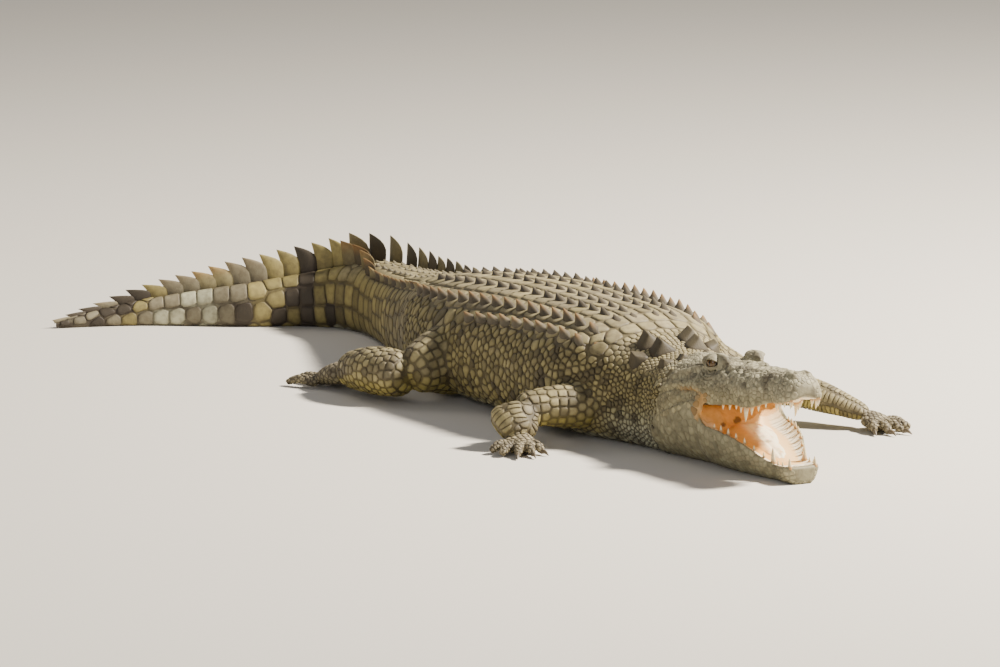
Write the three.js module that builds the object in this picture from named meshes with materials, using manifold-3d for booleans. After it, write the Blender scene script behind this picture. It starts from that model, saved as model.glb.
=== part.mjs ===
// A life-size Nile crocodile that basks on level ground with its mouth open and its tail bent to its right.
// The animal faces +X, its left side is +Y and +Z is up. The origin is on the flat of the belly, under the
// middle of the trunk. All sizes are in millimetres.
import * as THREE from "three";
import { mergeVertices } from "three/addons/utils/BufferGeometryUtils.js";
import Module from "manifold-3d";

const wasm = await Module();
wasm.setup();

// ---------------------------------------------------------------- driving dimensions

const GAP = 0.3; // between two solids that touch
const TURN = 2 * Math.PI;

const SNOUT_TIP = { x: 1350, y: 61 };
const HEAD_YAW = THREE.MathUtils.degToRad(3); // towards the animal's left
const HEAD_LENGTH = 490; // snout tip to the back of the skull
const MOUTH_CORNER = 350; // behind the snout tip

// The middle line of the neck, trunk and tail, seen from above.
const SPINE = new THREE.CatmullRomCurve3(
  [
    [845, 36],
    [680, 36],
    [450, 36],
    [200, 36],
    [0, 28],
    [-250, 14],
    [-450, 6],
    [-700, 30],
    [-900, 58],
    [-1080, 78],
    [-1220, 76],
    [-1340, 30],
    [-1420, -70],
    [-1475, -210],
    [-1545, -340],
    [-1608, -470],
    [-1645, -600],
    [-1656, -730],
  ].map(([x, y]) => new THREE.Vector3(x, y, 0)),
);
SPINE.arcLengthDivisions = 600;
const SPINE_LENGTH = SPINE.getLength();

// Where the body is parted, measured along the spine behind the skull.
const NECK_END = 230;
const TRUNK_END = 1290;
const TAIL_BASE_END = 1765;
const CREST_PAIR_END = 2180; // the two rows of the tail's crest meet here
const NECK_RINGS = 3;
const TRUNK_PLATES = 18; // in each row of the back
const TAIL_BASE_PLATES = 8; // in each row of the tail's first length

// The body's cross-section: [behind the skull, half width, top, height of the widest place].
const BODY = smoothTable([
  [0, 138, 250, 105],
  [90, 146, 250, 105],
  [200, 186, 276, 110],
  [345, 256, 310, 120],
  [545, 275, 316, 125],
  [845, 285, 318, 125],
  [1145, 255, 302, 120],
  [1295, 208, 284, 118],
  [1400, 176, 266, 114],
  [1535, 158, 243, 110],
  [1700, 132, 226, 100],
  [1850, 110, 212, 92],
  [2030, 90, 204, 84],
  [2180, 76, 180, 76],
  [2330, 64, 148, 64],
  [2500, 52, 122, 54],
  [2750, 33, 80, 36],
  [2950, 19, 40, 18],
  [SPINE_LENGTH, 6, 20, 9],
]);
const BELLY_SAG = 14; // how far the round underside would reach below the ground, so that it lies on a flat
const TOP_POWER = 2.5; // above 2 the section is boxier than an ellipse
const UNDER_POWER = 2.9;

// ---------------------------------------------------------------- tables, tubes and solids

// A smooth curve through rows of [place, value, value, ...]. It returns the values at a place.
function smoothTable(rows) {
  const slope = (i, c) => {
    const a = rows[Math.max(i - 1, 0)];
    const b = rows[Math.min(i + 1, rows.length - 1)];
    return (b[c] - a[c]) / (b[0] - a[0]);
  };
  return (place) => {
    const p = THREE.MathUtils.clamp(place, rows[0][0], rows[rows.length - 1][0]);
    let i = rows.findIndex((row) => row[0] >= p) - 1;
    i = Math.max(i, 0);
    const [from, to] = [rows[i], rows[i + 1]];
    const span = to[0] - from[0];
    const t = (p - from[0]) / span;
    const [t2, t3] = [t * t, t * t * t];
    return from.slice(1).map(
      (v, k) =>
        (2 * t3 - 3 * t2 + 1) * v +
        (t3 - 2 * t2 + t) * span * slope(i, k + 1) +
        (3 * t2 - 2 * t3) * to[k + 1] +
        (t3 - t2) * span * slope(i + 1, k + 1),
    );
  };
}

// A closed tube. place(ring, step) gives the point on a ring, and place(ring, null) the middle of its cap.
function tube(around, along, place) {
  const geometry = new THREE.CylinderGeometry(1, 1, 1, around, along);
  const at = geometry.attributes.position;
  for (let i = 0; i < at.count; i++) {
    const ring = Math.round((0.5 - at.getY(i)) * along);
    const isRim = Math.hypot(at.getX(i), at.getZ(i)) > 0.5;
    const step = (Math.round((Math.atan2(at.getX(i), at.getZ(i)) / TURN) * around) + around) % around;
    const p = place(ring, isRim ? step : null);
    at.setXYZ(i, p.x, p.y, Math.max(p.z, 0));
  }
  return geometry;
}

// A geometry as a manifold-3d solid with its faces pointing out.
function solid(geometry) {
  geometry.deleteAttribute("normal");
  geometry.deleteAttribute("uv");
  const merged = mergeVertices(geometry, 1e-3);
  const index = merged.index.array;
  const keep = [];
  for (let i = 0; i < index.length; i += 3) {
    const [a, b, c] = index.slice(i, i + 3);
    if (a !== b && b !== c && a !== c) keep.push(a, b, c);
  }
  const make = (triVerts) =>
    new wasm.Manifold(
      new wasm.Mesh({ numProp: 3, vertProperties: merged.attributes.position.array, triVerts }),
    );
  const made = make(new Uint32Array(keep));
  if (made.volume() > 0) return made;
  for (let i = 0; i < keep.length; i += 3) [keep[i], keep[i + 1]] = [keep[i + 1], keep[i]];
  return make(new Uint32Array(keep));
}

function geometryOf(manifold) {
  const mesh = manifold.getMesh();
  const positions = new Float32Array(mesh.numVert * 3);
  for (let i = 0; i < mesh.numVert; i++) {
    positions.set(mesh.vertProperties.subarray(i * mesh.numProp, i * mesh.numProp + 3), i * 3);
  }
  const geometry = new THREE.BufferGeometry();
  geometry.setAttribute("position", new THREE.BufferAttribute(positions, 3));
  geometry.setIndex(new THREE.BufferAttribute(mesh.triVerts, 1));
  geometry.computeVertexNormals();
  return geometry;
}

const joined = (solids) => solids.reduce((a, b) => a.add(b));

const BLUNT_END = 0.62; // how wide a limb is at its very end

// A round-ended limb along a smooth line through points [x, y, z]. radii is a smooth table of
// [share of the length, radius across, radius up].
function limb(points, radii, { around = 10, along = 6, grow = 0, blunt = 0.12 } = {}) {
  const line = new THREE.CatmullRomCurve3(points.map((p) => new THREE.Vector3(...p)));
  const up = new THREE.Vector3(0, 0, 1);
  const rings = along + 2;
  // A close ring at each end rounds it off.
  const share = (ring) => {
    if (ring === 0) return 0;
    if (ring === rings) return 1;
    return blunt + ((ring - 1) / along) * (1 - 2 * blunt);
  };
  return tube(around, rings, (ring, step) => {
    const t = share(ring);
    const middle = line.getPointAt(t);
    if (step === null) return middle.addScaledVector(line.getTangentAt(t), t < 0.5 ? -grow : grow);
    const ahead = line.getTangentAt(t);
    const across = new THREE.Vector3().crossVectors(ahead, up).normalize();
    const above = new THREE.Vector3().crossVectors(across, ahead);
    const end = Math.min(t, 1 - t) / (blunt * 0.99);
    const round = end < 1 ? BLUNT_END : 1;
    const [wide, high] = radii(t);
    const angle = (step / around) * TURN;
    return middle
      .addScaledVector(across, (wide * round + grow) * Math.cos(angle))
      .addScaledVector(above, (high * round + grow) * Math.sin(angle));
  });
}

// ---------------------------------------------------------------- neck, trunk and tail

// A point of the body from its place along the spine, its offset to the left and its height.
function bodyPoint(u, left, height) {
  const t = THREE.MathUtils.clamp(u / SPINE_LENGTH, 0, 1);
  const middle = SPINE.getPointAt(t);
  const ahead = SPINE.getTangentAt(t); // it runs towards the tail
  return new THREE.Vector3(middle.x + left * ahead.y, middle.y - left * ahead.x, height);
}

// The height of the back at an offset given as a share of the half width.
function backHeight(u, share) {
  const [, top, widest] = BODY(u);
  return widest + (top - widest) * (1 - Math.abs(share) ** TOP_POWER) ** (1 / TOP_POWER);
}

const power = (value, n) => Math.sign(value) * Math.abs(value) ** (2 / n);

// The side view of one plate, as [share of its length, share of its height] from its front. Its tip leans
// back past the ring of skin under it.
const LOW_PLATE = [[0, 0], [0.85, 1]];
const BLADE = [[0, 0.42], [0.4, 0.86], [0.98, 1]];
const TIP_FOOT = 0.8; // share of a plate's length at which the skin under its tip stands

// One length of the body with rows of keeled plates along its back. back lists the places across the back,
// as shares of the half width: { at(u), keel(u) }, where a keel stands above the surface.
// outline is the side view of each plate, and under is how many points cross the belly.
function bodyLength(from, to, plates, back, outline, { under = 6, grow = 0 } = {}) {
  const around = back.length + 2 + under;
  const pitch = (to - from) / plates;
  const rings = plates * outline.length;
  return tube(around, rings, (ring, step) => {
    const plate = Math.floor(ring / outline.length);
    const [along, rise] = outline[ring % outline.length];
    let u = from + plate * pitch;
    if (ring === 0) u += GAP / 2 - grow;
    if (ring === rings) u -= GAP / 2 - grow;
    const foot = Math.min(along, TIP_FOOT);
    const [half, top, widest] = BODY(u + foot * pitch);
    if (step === null) return bodyPoint(u, 0, top / 2);
    if (step < back.length) {
      const place = back[step];
      const share = place.at(u + foot * pitch);
      const keel = place.keel && ring % rings !== 0 ? rise * place.keel(u + foot * pitch) : 0;
      const z = backHeight(u + foot * pitch, share) + grow + keel;
      return bodyPoint(u + (keel > 0 ? along : foot) * pitch, (half + grow) * share, z);
    }
    const angle = (-(step - back.length) / (under + 1)) * Math.PI; // down the left side and up the right
    const y = (half + grow) * power(Math.cos(angle), UNDER_POWER);
    const depth = widest + BELLY_SAG + grow;
    const z = widest + depth * power(Math.sin(angle), UNDER_POWER);
    return bodyPoint(u + foot * pitch, y, z);
  });
}
// Places across the back, from the right side to the left.
const between = (share) => ({ at: () => share });
const keeled = (at, keel) => ({ at, keel });
const mirrored = (half) => [
  ...half.filter((p) => p.at(1500) !== 0).map((p) => ({ ...p, at: (u) => -p.at(u) })).reverse(),
  ...half,
];
const fade = (u, from, to) => THREE.MathUtils.smoothstep(u, from, to);

const trunkKeel = (height) => (u) => height * fade(u, 260, 420);
const TRUNK_BACK = mirrored([
  between(0),
  keeled(() => 0.16, trunkKeel(15)),
  between(0.3),
  keeled(() => 0.43, trunkKeel(17)),
  between(0.56),
  keeled(() => 0.7, trunkKeel(22)),
  between(0.86),
]);
const NECK_BACK = mirrored([between(0), between(0.3), between(0.6), between(0.86)]);

// The crest's two rows close up on the middle line where they meet. The tail is twisted a little to its
// right, so the left row stands up first.
const crestRow = (u) => THREE.MathUtils.lerp(0.7, 0.16, fade(u, 1930, CREST_PAIR_END));
const leftRow = smoothTable([
  [TRUNK_END, 24],
  [1600, 46],
  [1750, 60],
  [1900, 74],
  [CREST_PAIR_END, 90],
]);
const rightRow = smoothTable([
  [TRUNK_END, 24],
  [1900, 27],
  [2040, 54],
  [CREST_PAIR_END, 86],
]);
const CREST_PAIR_BACK = mirrored([
  between(0),
  { at: (u) => crestRow(u) - 0.09 },
  keeled(crestRow, (u) => leftRow(u)[0]),
  { at: (u) => crestRow(u) + 0.09 },
  between(0.88),
]);
CREST_PAIR_BACK.find((place) => place.keel).keel = (u) => rightRow(u)[0];
const crestHeight = smoothTable([
  [CREST_PAIR_END, 88],
  [2350, 76],
  [2550, 60],
  [2750, 38],
  [2900, 16],
  [SPINE_LENGTH, 4],
]);
const CREST_BACK = mirrored([
  keeled(() => 0, (u) => crestHeight(u)[0]),
  between(0.16),
  between(0.78),
]);

// ---------------------------------------------------------------- head

// A point of the head from its distance behind the snout tip, its offset to the left and its height.
function headPoint(behind, left, height) {
  const [c, s] = [Math.cos(HEAD_YAW), Math.sin(HEAD_YAW)];
  return new THREE.Vector3(
    SNOUT_TIP.x - behind * c - left * s,
    SNOUT_TIP.y - behind * s + left * c,
    height,
  );
}

// [behind the snout tip, half width, top, lip, squareness]. Behind the mouth's corner the lip row is the
// line where the two jaws meet.
const UPPER_HEAD = smoothTable([
  [0, 26, 248, 216, 2.4],
  [8, 43, 264, 212, 2.5],
  [24, 56, 275, 207, 2.6],
  [48, 60, 279, 203, 2.6],
  [80, 55, 277, 197, 2.7],
  [105, 58, 274, 193, 2.8],
  [140, 73, 272, 180, 2.8],
  [175, 81, 270, 173, 2.8],
  [215, 83, 268, 174, 2.7],
  [260, 92, 266, 168, 2.5],
  [305, 104, 266, 163, 2.2],
  [350, 116, 266, 170, 1.8],
  [400, 128, 272, 150, 1.6],
  [450, 136, 272, 128, 1.6],
  [HEAD_LENGTH, 138, 264, 110, 1.7],
  [550, 138, 254, 100, 1.9],
]);
const SKULL_TABLE = 262; // the flat top of the skull
const PALATE_ARCH = 10;
const HEAD_SIDES = 22;
const JAW_SIDES = 18;
const HEAD_RINGS = [0, 8, 24, 48, 80, 105, 140, 175, 215, 260, 305, 350, 400, 450, 490, 540];

function upperHead(grow = 0) {
  return tube(HEAD_SIDES, HEAD_RINGS.length - 1, (ring, step) => {
    const behind = HEAD_RINGS[ring];
    const [half, top, lip, square] = UPPER_HEAD(behind);
    if (step === null) return headPoint(behind - (ring === 0 ? grow : 0), 0, (top + lip) / 2);
    const angle = (step / HEAD_SIDES) * TURN;
    const across = power(Math.cos(angle), square);
    const flat = behind > MOUTH_CORNER ? SKULL_TABLE : top;
    const z =
      Math.sin(angle) > 1e-6
        ? Math.min(lip + (top - lip) * power(Math.sin(angle), square), flat) + grow
        : lip + PALATE_ARCH * (1 - across ** 2) - grow;
    return headPoint(behind, (half + grow) * across, z);
  });
}

// [behind the snout tip, half width, lip, depth of the trough between the lips]
const LOWER_JAW = smoothTable([
  [10, 28, 42, 0],
  [20, 46, 45, 0],
  [45, 55, 46, 4],
  [85, 55, 49, 10],
  [120, 72, 66, 18],
  [165, 93, 90, 26],
  [205, 106, 103, 28],
  [260, 118, 113, 28],
  [305, 126, 122, 26],
  [MOUTH_CORNER, 130, 168, 20],
  [400, 140, 150, 0],
  [450, 146, 128, 0],
  [HEAD_LENGTH, 146, 110, 0],
  [550, 144, 100, 0],
]);
const JAW_RINGS = [10, 20, 45, 85, 120, 165, 205, 260, 305, 350, 400, 450, 490, 540];

function lowerJaw(grow = 0) {
  return tube(JAW_SIDES, JAW_RINGS.length - 1, (ring, step) => {
    const behind = JAW_RINGS[ring];
    const [half, lip, trough] = LOWER_JAW(behind);
    if (step === null) return headPoint(behind, 0, lip * 0.5);
    const angle = (step / JAW_SIDES) * TURN;
    const across = power(Math.cos(angle), 2.6);
    const chin = ring === 0 ? 8 : -7;
    const z =
      Math.sin(angle) >= 0
        ? lip - trough * (1 - across ** 4) + grow
        : lip - (lip - chin + grow) * Math.abs(power(Math.sin(angle), 2.4));
    return headPoint(behind, (half + grow) * across, z);
  });
}

// [behind the snout tip, length] for the teeth of one side. They stand just inside the lip.
const UPPER_TEETH = [
  [12, 20], [26, 14], [42, 26], [60, 22], [110, 12], [130, 16], [150, 22], [170, 38],
  [192, 18], [214, 14], [238, 15], [262, 14],
];
const LOWER_TEETH = [
  [20, 24], [40, 12], [60, 12], [84, 38], [110, 12], [136, 12], [162, 14], [188, 13],
  [214, 15], [240, 14], [264, 11],
];

function tooth(behind, left, root, length) {
  const cone = new THREE.ConeGeometry(Math.abs(length) * 0.2 + 1.5, Math.abs(length) + 8, 4);
  cone.rotateX(length > 0 ? Math.PI / 2 : -Math.PI / 2);
  const at = headPoint(behind, left, root + length / 2 - Math.sign(length) * 4);
  return solid(cone.translate(at.x, at.y, at.z));
}

function toothRow(table, teeth, lipColumn, inset, direction) {
  const sides = [1, -1];
  return sides.flatMap((side) =>
    teeth.map(([behind, length]) => {
      const row = table(behind);
      const left = side * Math.max(row[0] - inset, 8);
      return tooth(behind, left, row[lipColumn] - direction * 4, direction * length);
    }),
  );
}

const EYE_RADIUS = 19;
const EYE = { behind: 345, left: 63, height: 262 };
const eyeBall = (side, grow = 0) => {
  const ball = new THREE.IcosahedronGeometry(EYE_RADIUS + grow, 1);
  const at = headPoint(EYE.behind, side * EYE.left, EYE.height);
  return solid(ball.translate(at.x, at.y, at.z));
};
const brow = (side) => {
  const ridge = new THREE.SphereGeometry(1, 10, 7).scale(42, 20, 20);
  ridge.rotateZ(HEAD_YAW - side * 0.25);
  const at = headPoint(EYE.behind, side * (EYE.left - 9), EYE.height - 1);
  return solid(ridge.translate(at.x, at.y, at.z));
};
const nostril = (side) => {
  const boss = new THREE.SphereGeometry(1, 8, 6).scale(22, 14, 10);
  const at = headPoint(40, side * 18, 273);
  return solid(boss.translate(at.x, at.y, at.z));
};

const TONGUE = smoothTable([
  [0, 24, 10],
  [0.3, 44, 15],
  [0.7, 66, 20],
  [1, 60, 18],
]);
const tongue = () => {
  const at = (behind, height) => headPoint(behind, 0, height).toArray();
  return limb([at(118, 45), at(200, 64), at(318, 100)], TONGUE, { around: 10, along: 5, blunt: 0.2 });
};

// ---------------------------------------------------------------- legs

const DIGIT_ROOT = 0.75; // of the palm's length: where its digits part
const INSTEP = 0.72; // of the ankle's height: how high the middle of the palm is

// Each leg is an upper length, a lower length and a foot. Points are [x, y, z].
const BENT_ARM = smoothTable([[0, 64, 60], [0.35, 62, 58], [0.7, 52, 50], [1, 46, 44]]);
const REACHING_ARM = smoothTable([[0, 92, 84], [0.3, 84, 80], [0.55, 60, 54], [1, 46, 44]]);
const REACHING_FOREARM = smoothTable([[0, 48, 44], [0.35, 50, 42], [0.75, 38, 30], [1, 30, 22]]);
const FOREARM = smoothTable([[0, 64, 46], [0.3, 66, 46], [0.75, 54, 36], [1, 44, 26]]);
const THIGH = smoothTable([[0, 96, 104], [0.4, 82, 96], [0.8, 66, 70], [1, 58, 58]]);
const SHANK = smoothTable([[0, 62, 60], [0.4, 68, 66], [0.8, 54, 54], [1, 44, 42]]);
const PALM = smoothTable([[0, 30, 22], [0.5, 46, 20], [1, 40, 16]]);
const SOLE = smoothTable([[0, 38, 34], [0.5, 48, 28], [1, 47, 16]]);
const DIGIT = smoothTable([[0, 17, 15], [0.5, 13, 13], [1, 9, 9]]);
const CLAW = smoothTable([[0, 6.5, 7.5], [0.5, 4.5, 5.5], [1, 1.2, 1.4]]);

// heading is the foot's direction in degrees from +X towards the animal's left. A digit is
// [turn from the heading, length, has a claw].
const LEGS = {
  fore_right: {
    upper: [[570, -140, 90], [560, -252, 96], [550, -350, 92]],
    lower: [[550, -356, 90], [584, -368, 66], [618, -372, 34]],
    shapes: [BENT_ARM, FOREARM, PALM],
    heading: -34,
    palm: 56,
    digits: [[46, 46, true], [24, 66, true], [4, 76, true], [-18, 74, false], [-42, 60, false]],
  },
  fore_left: {
    upper: [[482, 150, 168], [548, 320, 118], [606, 474, 82]],
    lower: [[606, 478, 80], [684, 530, 60], [750, 574, 38]],
    shapes: [REACHING_ARM, REACHING_FOREARM, PALM],
    heading: 28,
    palm: 56,
    digits: [[-46, 46, true], [-24, 66, true], [-4, 76, true], [18, 74, false], [42, 60, false]],
  },
  hind_right: {
    upper: [[-165, -150, 112], [-125, -264, 104], [-98, -350, 86]],
    lower: [[-98, -350, 80], [-225, -396, 78], [-358, -416, 60]],
    shapes: [THIGH, SHANK, SOLE],
    heading: -176,
    palm: 120,
    digits: [[-30, 84, true], [-10, 116, true], [10, 120, true], [30, 100, false]],
  },
  hind_left: {
    upper: [[-180, 170, 112], [-145, 290, 104], [-118, 372, 86]],
    lower: [[-120, 372, 80], [-225, 440, 78], [-342, 480, 60]],
    shapes: [THIGH, SHANK, SOLE],
    heading: 158,
    palm: 120,
    digits: [[30, 84, true], [10, 116, true], [-10, 120, true], [-30, 100, false]],
  },
};

// A foot's palm and digits, and its claws.
function foot({ lower, heading, palm, digits, shapes }, grow) {
  const [x, y] = lower[2];
  const ankle = lower[2][2] - 6;
  const towards = (angle, reach, height) => {
    const a = THREE.MathUtils.degToRad(heading + angle);
    return [x + reach * Math.cos(a), y + reach * Math.sin(a), height];
  };
  const sole = [towards(180, 8, ankle), towards(0, palm * 0.5, ankle * INSTEP), towards(0, palm, 14)];
  const pad = limb(sole, shapes[2], {
    around: 8,
    along: 3,
    blunt: 0.16,
    grow,
  });
  const toe = ([angle, length]) =>
    limb(
      [
        towards(angle, palm * DIGIT_ROOT, 17),
        towards(angle, palm * DIGIT_ROOT + length * 0.55, 22),
        towards(angle, palm * DIGIT_ROOT + length, 9),
      ],
      DIGIT,
      { around: 6, along: 2, blunt: 0.14, grow },
    );
  const claw = ([angle, length]) =>
    limb(
      [
        towards(angle, palm * DIGIT_ROOT + length - 6, 9),
        towards(angle, palm * DIGIT_ROOT + length + 12, 9),
        towards(angle, palm * DIGIT_ROOT + length + 27, 2.5),
      ],
      CLAW,
      { around: 5, along: 1, blunt: 0.3 },
    );
  return {
    flesh: joined([pad, ...digits.map(toe)].map(solid)),
    claws: digits.filter((d) => d[2]).map(claw).map(solid),
  };
}

// ---------------------------------------------------------------- the nodes

const MATERIALS = {
  back: { color: 0x9a8c72, roughness: 0.75 },
  flank: { color: 0x8a7a55, roughness: 0.75 },
  tail: { color: 0x8f8355, roughness: 0.7 },
  head: { color: 0x8c8878, roughness: 0.7 },
  jaw: { color: 0xa5a792, roughness: 0.65 },
  leg: { color: 0x8b7c58, roughness: 0.75 },
  tongue: { color: 0xd99a4a, roughness: 0.45 },
  eye: { color: 0x3a3322, roughness: 0.1 },
  claw: { color: 0x3b352c, roughness: 0.4 },
};
const crocodile = new THREE.Group();

function addNode(name, manifold, material) {
  const look = new THREE.MeshStandardMaterial({ ...MATERIALS[material], metalness: 0 });
  const mesh = new THREE.Mesh(geometryOf(manifold), look);
  mesh.name = name;
  crocodile.add(mesh);
}

// The plates of the neck: four large ones in a square with one beside each pair, and a row of small ones
// behind the skull. Each is [behind the skull, to the left, height].
const NECK_PLATES = [
  [122, 44, 32], [122, -54, 34], [172, 50, 32], [172, -66, 34], [148, 106, 24], [140, -116, 24],
  [30, 24, 13], [26, -44, 13], [44, 70, 14], [50, -84, 16],
];
function neckPlate([u, left, height]) {
  const root = 16; // how far a plate reaches under the skin
  const share = left / BODY(u)[0];
  const pyramid = new THREE.ConeGeometry(height * 0.75 + 14, height + root, 4, 1);
  pyramid.rotateX(Math.PI / 2).rotateZ(Math.PI / 4);
  const at = bodyPoint(u, left, backHeight(u, share) + (height - root) / 2);
  return solid(pyramid.translate(at.x, at.y, at.z));
}

// The head stops just in front of the neck's flat front.
function aheadOfNeck(manifold) {
  const side = 2000;
  const keep = new THREE.BoxGeometry(side, side, side);
  const ahead = SPINE.getTangentAt(0).negate();
  keep.rotateZ(Math.atan2(ahead.y, ahead.x));
  const at = SPINE.getPointAt(0).addScaledVector(ahead, side / 2 + GAP / 2);
  return manifold.intersect(solid(keep.translate(at.x, at.y, at.z)));
}

const neckTube = solid(bodyLength(0, NECK_END, NECK_RINGS, NECK_BACK, LOW_PLATE));
const neck = joined([neckTube, ...NECK_PLATES.map(neckPlate)]);
const trunk = solid(bodyLength(NECK_END, TRUNK_END, TRUNK_PLATES, TRUNK_BACK, LOW_PLATE));
addNode("neck", neck, "flank");
addNode("trunk", trunk, "back");

const TAIL_CUTS = [
  [TRUNK_END, TAIL_BASE_END, TAIL_BASE_PLATES, CREST_PAIR_BACK],
  [TAIL_BASE_END, CREST_PAIR_END, 7, CREST_PAIR_BACK],
  [CREST_PAIR_END, 2610, 9, CREST_BACK],
  [2610, SPINE_LENGTH, 9, CREST_BACK],
];
TAIL_CUTS.forEach(([from, to, plates, back], i) => {
  addNode(`tail_${i + 1}`, solid(bodyLength(from, to, plates, back, BLADE, { under: 5 })), "tail");
});

const sides = [["right", -1], ["left", 1]];
const skull = joined([solid(upperHead()), brow(1), brow(-1), nostril(1), nostril(-1)]);
const upperTeeth = toothRow(UPPER_HEAD, UPPER_TEETH, 2, 7, -1);
const bigSkull = solid(upperHead(GAP));
const lowerTeeth = toothRow(LOWER_JAW, LOWER_TEETH, 1, 9, 1);
const eyes = sides.map(([, side]) => eyeBall(side));
const sockets = joined(sides.map(([, side]) => eyeBall(side, GAP)));
addNode("head_upper", aheadOfNeck(joined([skull, ...upperTeeth])).subtract(sockets), "head");
const lower = joined([solid(lowerJaw()), ...lowerTeeth]).subtract(bigSkull);
addNode("jaw_lower", aheadOfNeck(lower), "jaw");
sides.forEach(([name], i) => addNode(`eye_${name}`, eyes[i], "eye"));
const mouthFloor = joined([solid(lowerJaw(GAP)), ...lowerTeeth]);
addNode("tongue", solid(tongue()).subtract(mouthFloor).subtract(bigSkull), "tongue");

const bigTrunk = joined([
  solid(bodyLength(NECK_END, TRUNK_END, TRUNK_PLATES, TRUNK_BACK, LOW_PLATE, { grow: GAP })),
  solid(bodyLength(0, NECK_END, NECK_RINGS, NECK_BACK, LOW_PLATE, { grow: GAP })),
  solid(bodyLength(...TAIL_CUTS[0], BLADE, { under: 5, grow: GAP })),
]);
for (const [name, leg] of Object.entries(LEGS)) {
  const upperShape = (grow) => solid(limb(leg.upper, leg.shapes[0], { around: 10, along: 4, grow }));
  const lowerShape = (grow) => solid(limb(leg.lower, leg.shapes[1], { around: 10, along: 4, grow }));
  const { flesh, claws } = foot(leg, 0);
  const grownUpper = upperShape(GAP);
  const grownLower = lowerShape(GAP);
  addNode(`${name}_upper`, upperShape(0).subtract(bigTrunk), "leg");
  addNode(`${name}_lower`, lowerShape(0).subtract(grownUpper).subtract(bigTrunk), "leg");
  addNode(`${name}_foot`, flesh.subtract(grownLower).subtract(grownUpper), "leg");
  const grownFoot = foot(leg, GAP).flesh;
  claws.forEach((claw, i) => addNode(`${name}_claw_${i + 1}`, claw.subtract(grownFoot), "claw"));
}

export default crocodile;
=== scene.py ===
import math

import bmesh
import bpy
import numpy as np
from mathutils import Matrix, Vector, noise
from mathutils.bvhtree import BVHTree
from mathutils.kdtree import KDTree


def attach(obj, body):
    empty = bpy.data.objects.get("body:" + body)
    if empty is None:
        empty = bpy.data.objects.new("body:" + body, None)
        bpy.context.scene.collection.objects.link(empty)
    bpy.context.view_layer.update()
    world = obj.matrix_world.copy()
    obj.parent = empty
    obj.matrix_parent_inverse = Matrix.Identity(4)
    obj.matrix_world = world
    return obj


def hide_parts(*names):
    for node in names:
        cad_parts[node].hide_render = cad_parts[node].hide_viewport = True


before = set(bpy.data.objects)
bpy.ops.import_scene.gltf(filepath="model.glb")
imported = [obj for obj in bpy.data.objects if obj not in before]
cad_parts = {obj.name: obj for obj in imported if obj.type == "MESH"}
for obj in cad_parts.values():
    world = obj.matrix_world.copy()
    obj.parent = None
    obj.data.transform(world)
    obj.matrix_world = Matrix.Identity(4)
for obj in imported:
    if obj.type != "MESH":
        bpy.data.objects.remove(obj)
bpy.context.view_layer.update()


# ---------------------------------------------------------------- floor, light and camera
# A plain pale studio floor under the animal. The key light stands high to its left and a little ahead,
# a weak one fills its right side, and a third lights it from behind.

CAMERA_AT = (15.0941, -7.5454, 3.04)
CAMERA_AIM = (-1.0164, 0.3712, 0.0)
LENS_MM = 230.4
SENSOR_MM = 36.0
FLOOR_SIZE = 60.0
FLOOR_DROP = 0.0005  # keeps the floor clear of the flats of the belly and feet
LAMP_AIM = (0, 0, 0.1)
# [name, place, diameter, watts, colour]
LAMPS = (
    ("key", (2.6, 5.4, 5.9), 1.1, 3150, "FFF6E8"),
    ("fill", (6.0, -6.0, 3.2), 4.0, 140, "F3F4FF"),
    ("rim", (-5.0, -2.0, 4.5), 3.0, 70, "FFF6EA"),
)
SKY_STRENGTH = 0.25


def srgb(code):
    """A colour written as in a paint chart, turned to the linear values that the renderer mixes."""
    parts = [int(code[i : i + 2], 16) / 255 for i in (0, 2, 4)]
    linear = [p / 12.92 if p <= 0.04045 else ((p + 0.055) / 1.055) ** 2.4 for p in parts]
    return (*linear, 1.0)


def node(tree, kind, inputs=None, out=0, **settings):
    """Adds one node and returns its output. inputs gives a socket's value, or the output it is linked to."""
    made = tree.nodes.new("ShaderNode" + kind)
    for name, value in settings.items():
        setattr(made, name, value)
    for name, value in (inputs or {}).items():
        if isinstance(value, bpy.types.NodeSocket):
            tree.links.new(value, made.inputs[name])
        else:
            made.inputs[name].default_value = value
    return made.outputs[out]


def new_material(name, constants):
    """A material, its node tree and its shader, with these constants on the shader's sockets."""
    material = bpy.data.materials.new(name)
    material.use_nodes = True
    shader = material.node_tree.nodes["Principled BSDF"]
    for socket, value in constants.items():
        shader.inputs[socket].default_value = value
    return material, material.node_tree, shader


def aimed(name, data, place, aim):
    """A camera or a lamp at this place, looking at another."""
    obj = bpy.data.objects.new(name, data)
    obj.location = place
    obj.rotation_euler = (Vector(aim) - Vector(place)).to_track_quat("-Z", "Y").to_euler()
    bpy.context.collection.objects.link(obj)
    return obj


camera = aimed("camera", bpy.data.cameras.new("camera"), CAMERA_AT, CAMERA_AIM)
camera.data.lens = LENS_MM
camera.data.sensor_width = SENSOR_MM
camera.data.clip_end = 200
bpy.context.scene.camera = camera

floor_mesh = bpy.data.meshes.new("floor")
floor_bm = bmesh.new()
bmesh.ops.create_grid(floor_bm, x_segments=1, y_segments=1, size=FLOOR_SIZE / 2)
floor_bm.to_mesh(floor_mesh)
floor_bm.free()
floor = bpy.data.objects.new("floor", floor_mesh)
floor.location.z = -FLOOR_DROP
bpy.context.collection.objects.link(floor)

# Matt studio paper: even, with no gloss.
paper = new_material("studio paper", {"Base Color": srgb("D6D1C7"), "Roughness": 0.95})[0]
floor.data.materials.append(paper)

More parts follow.
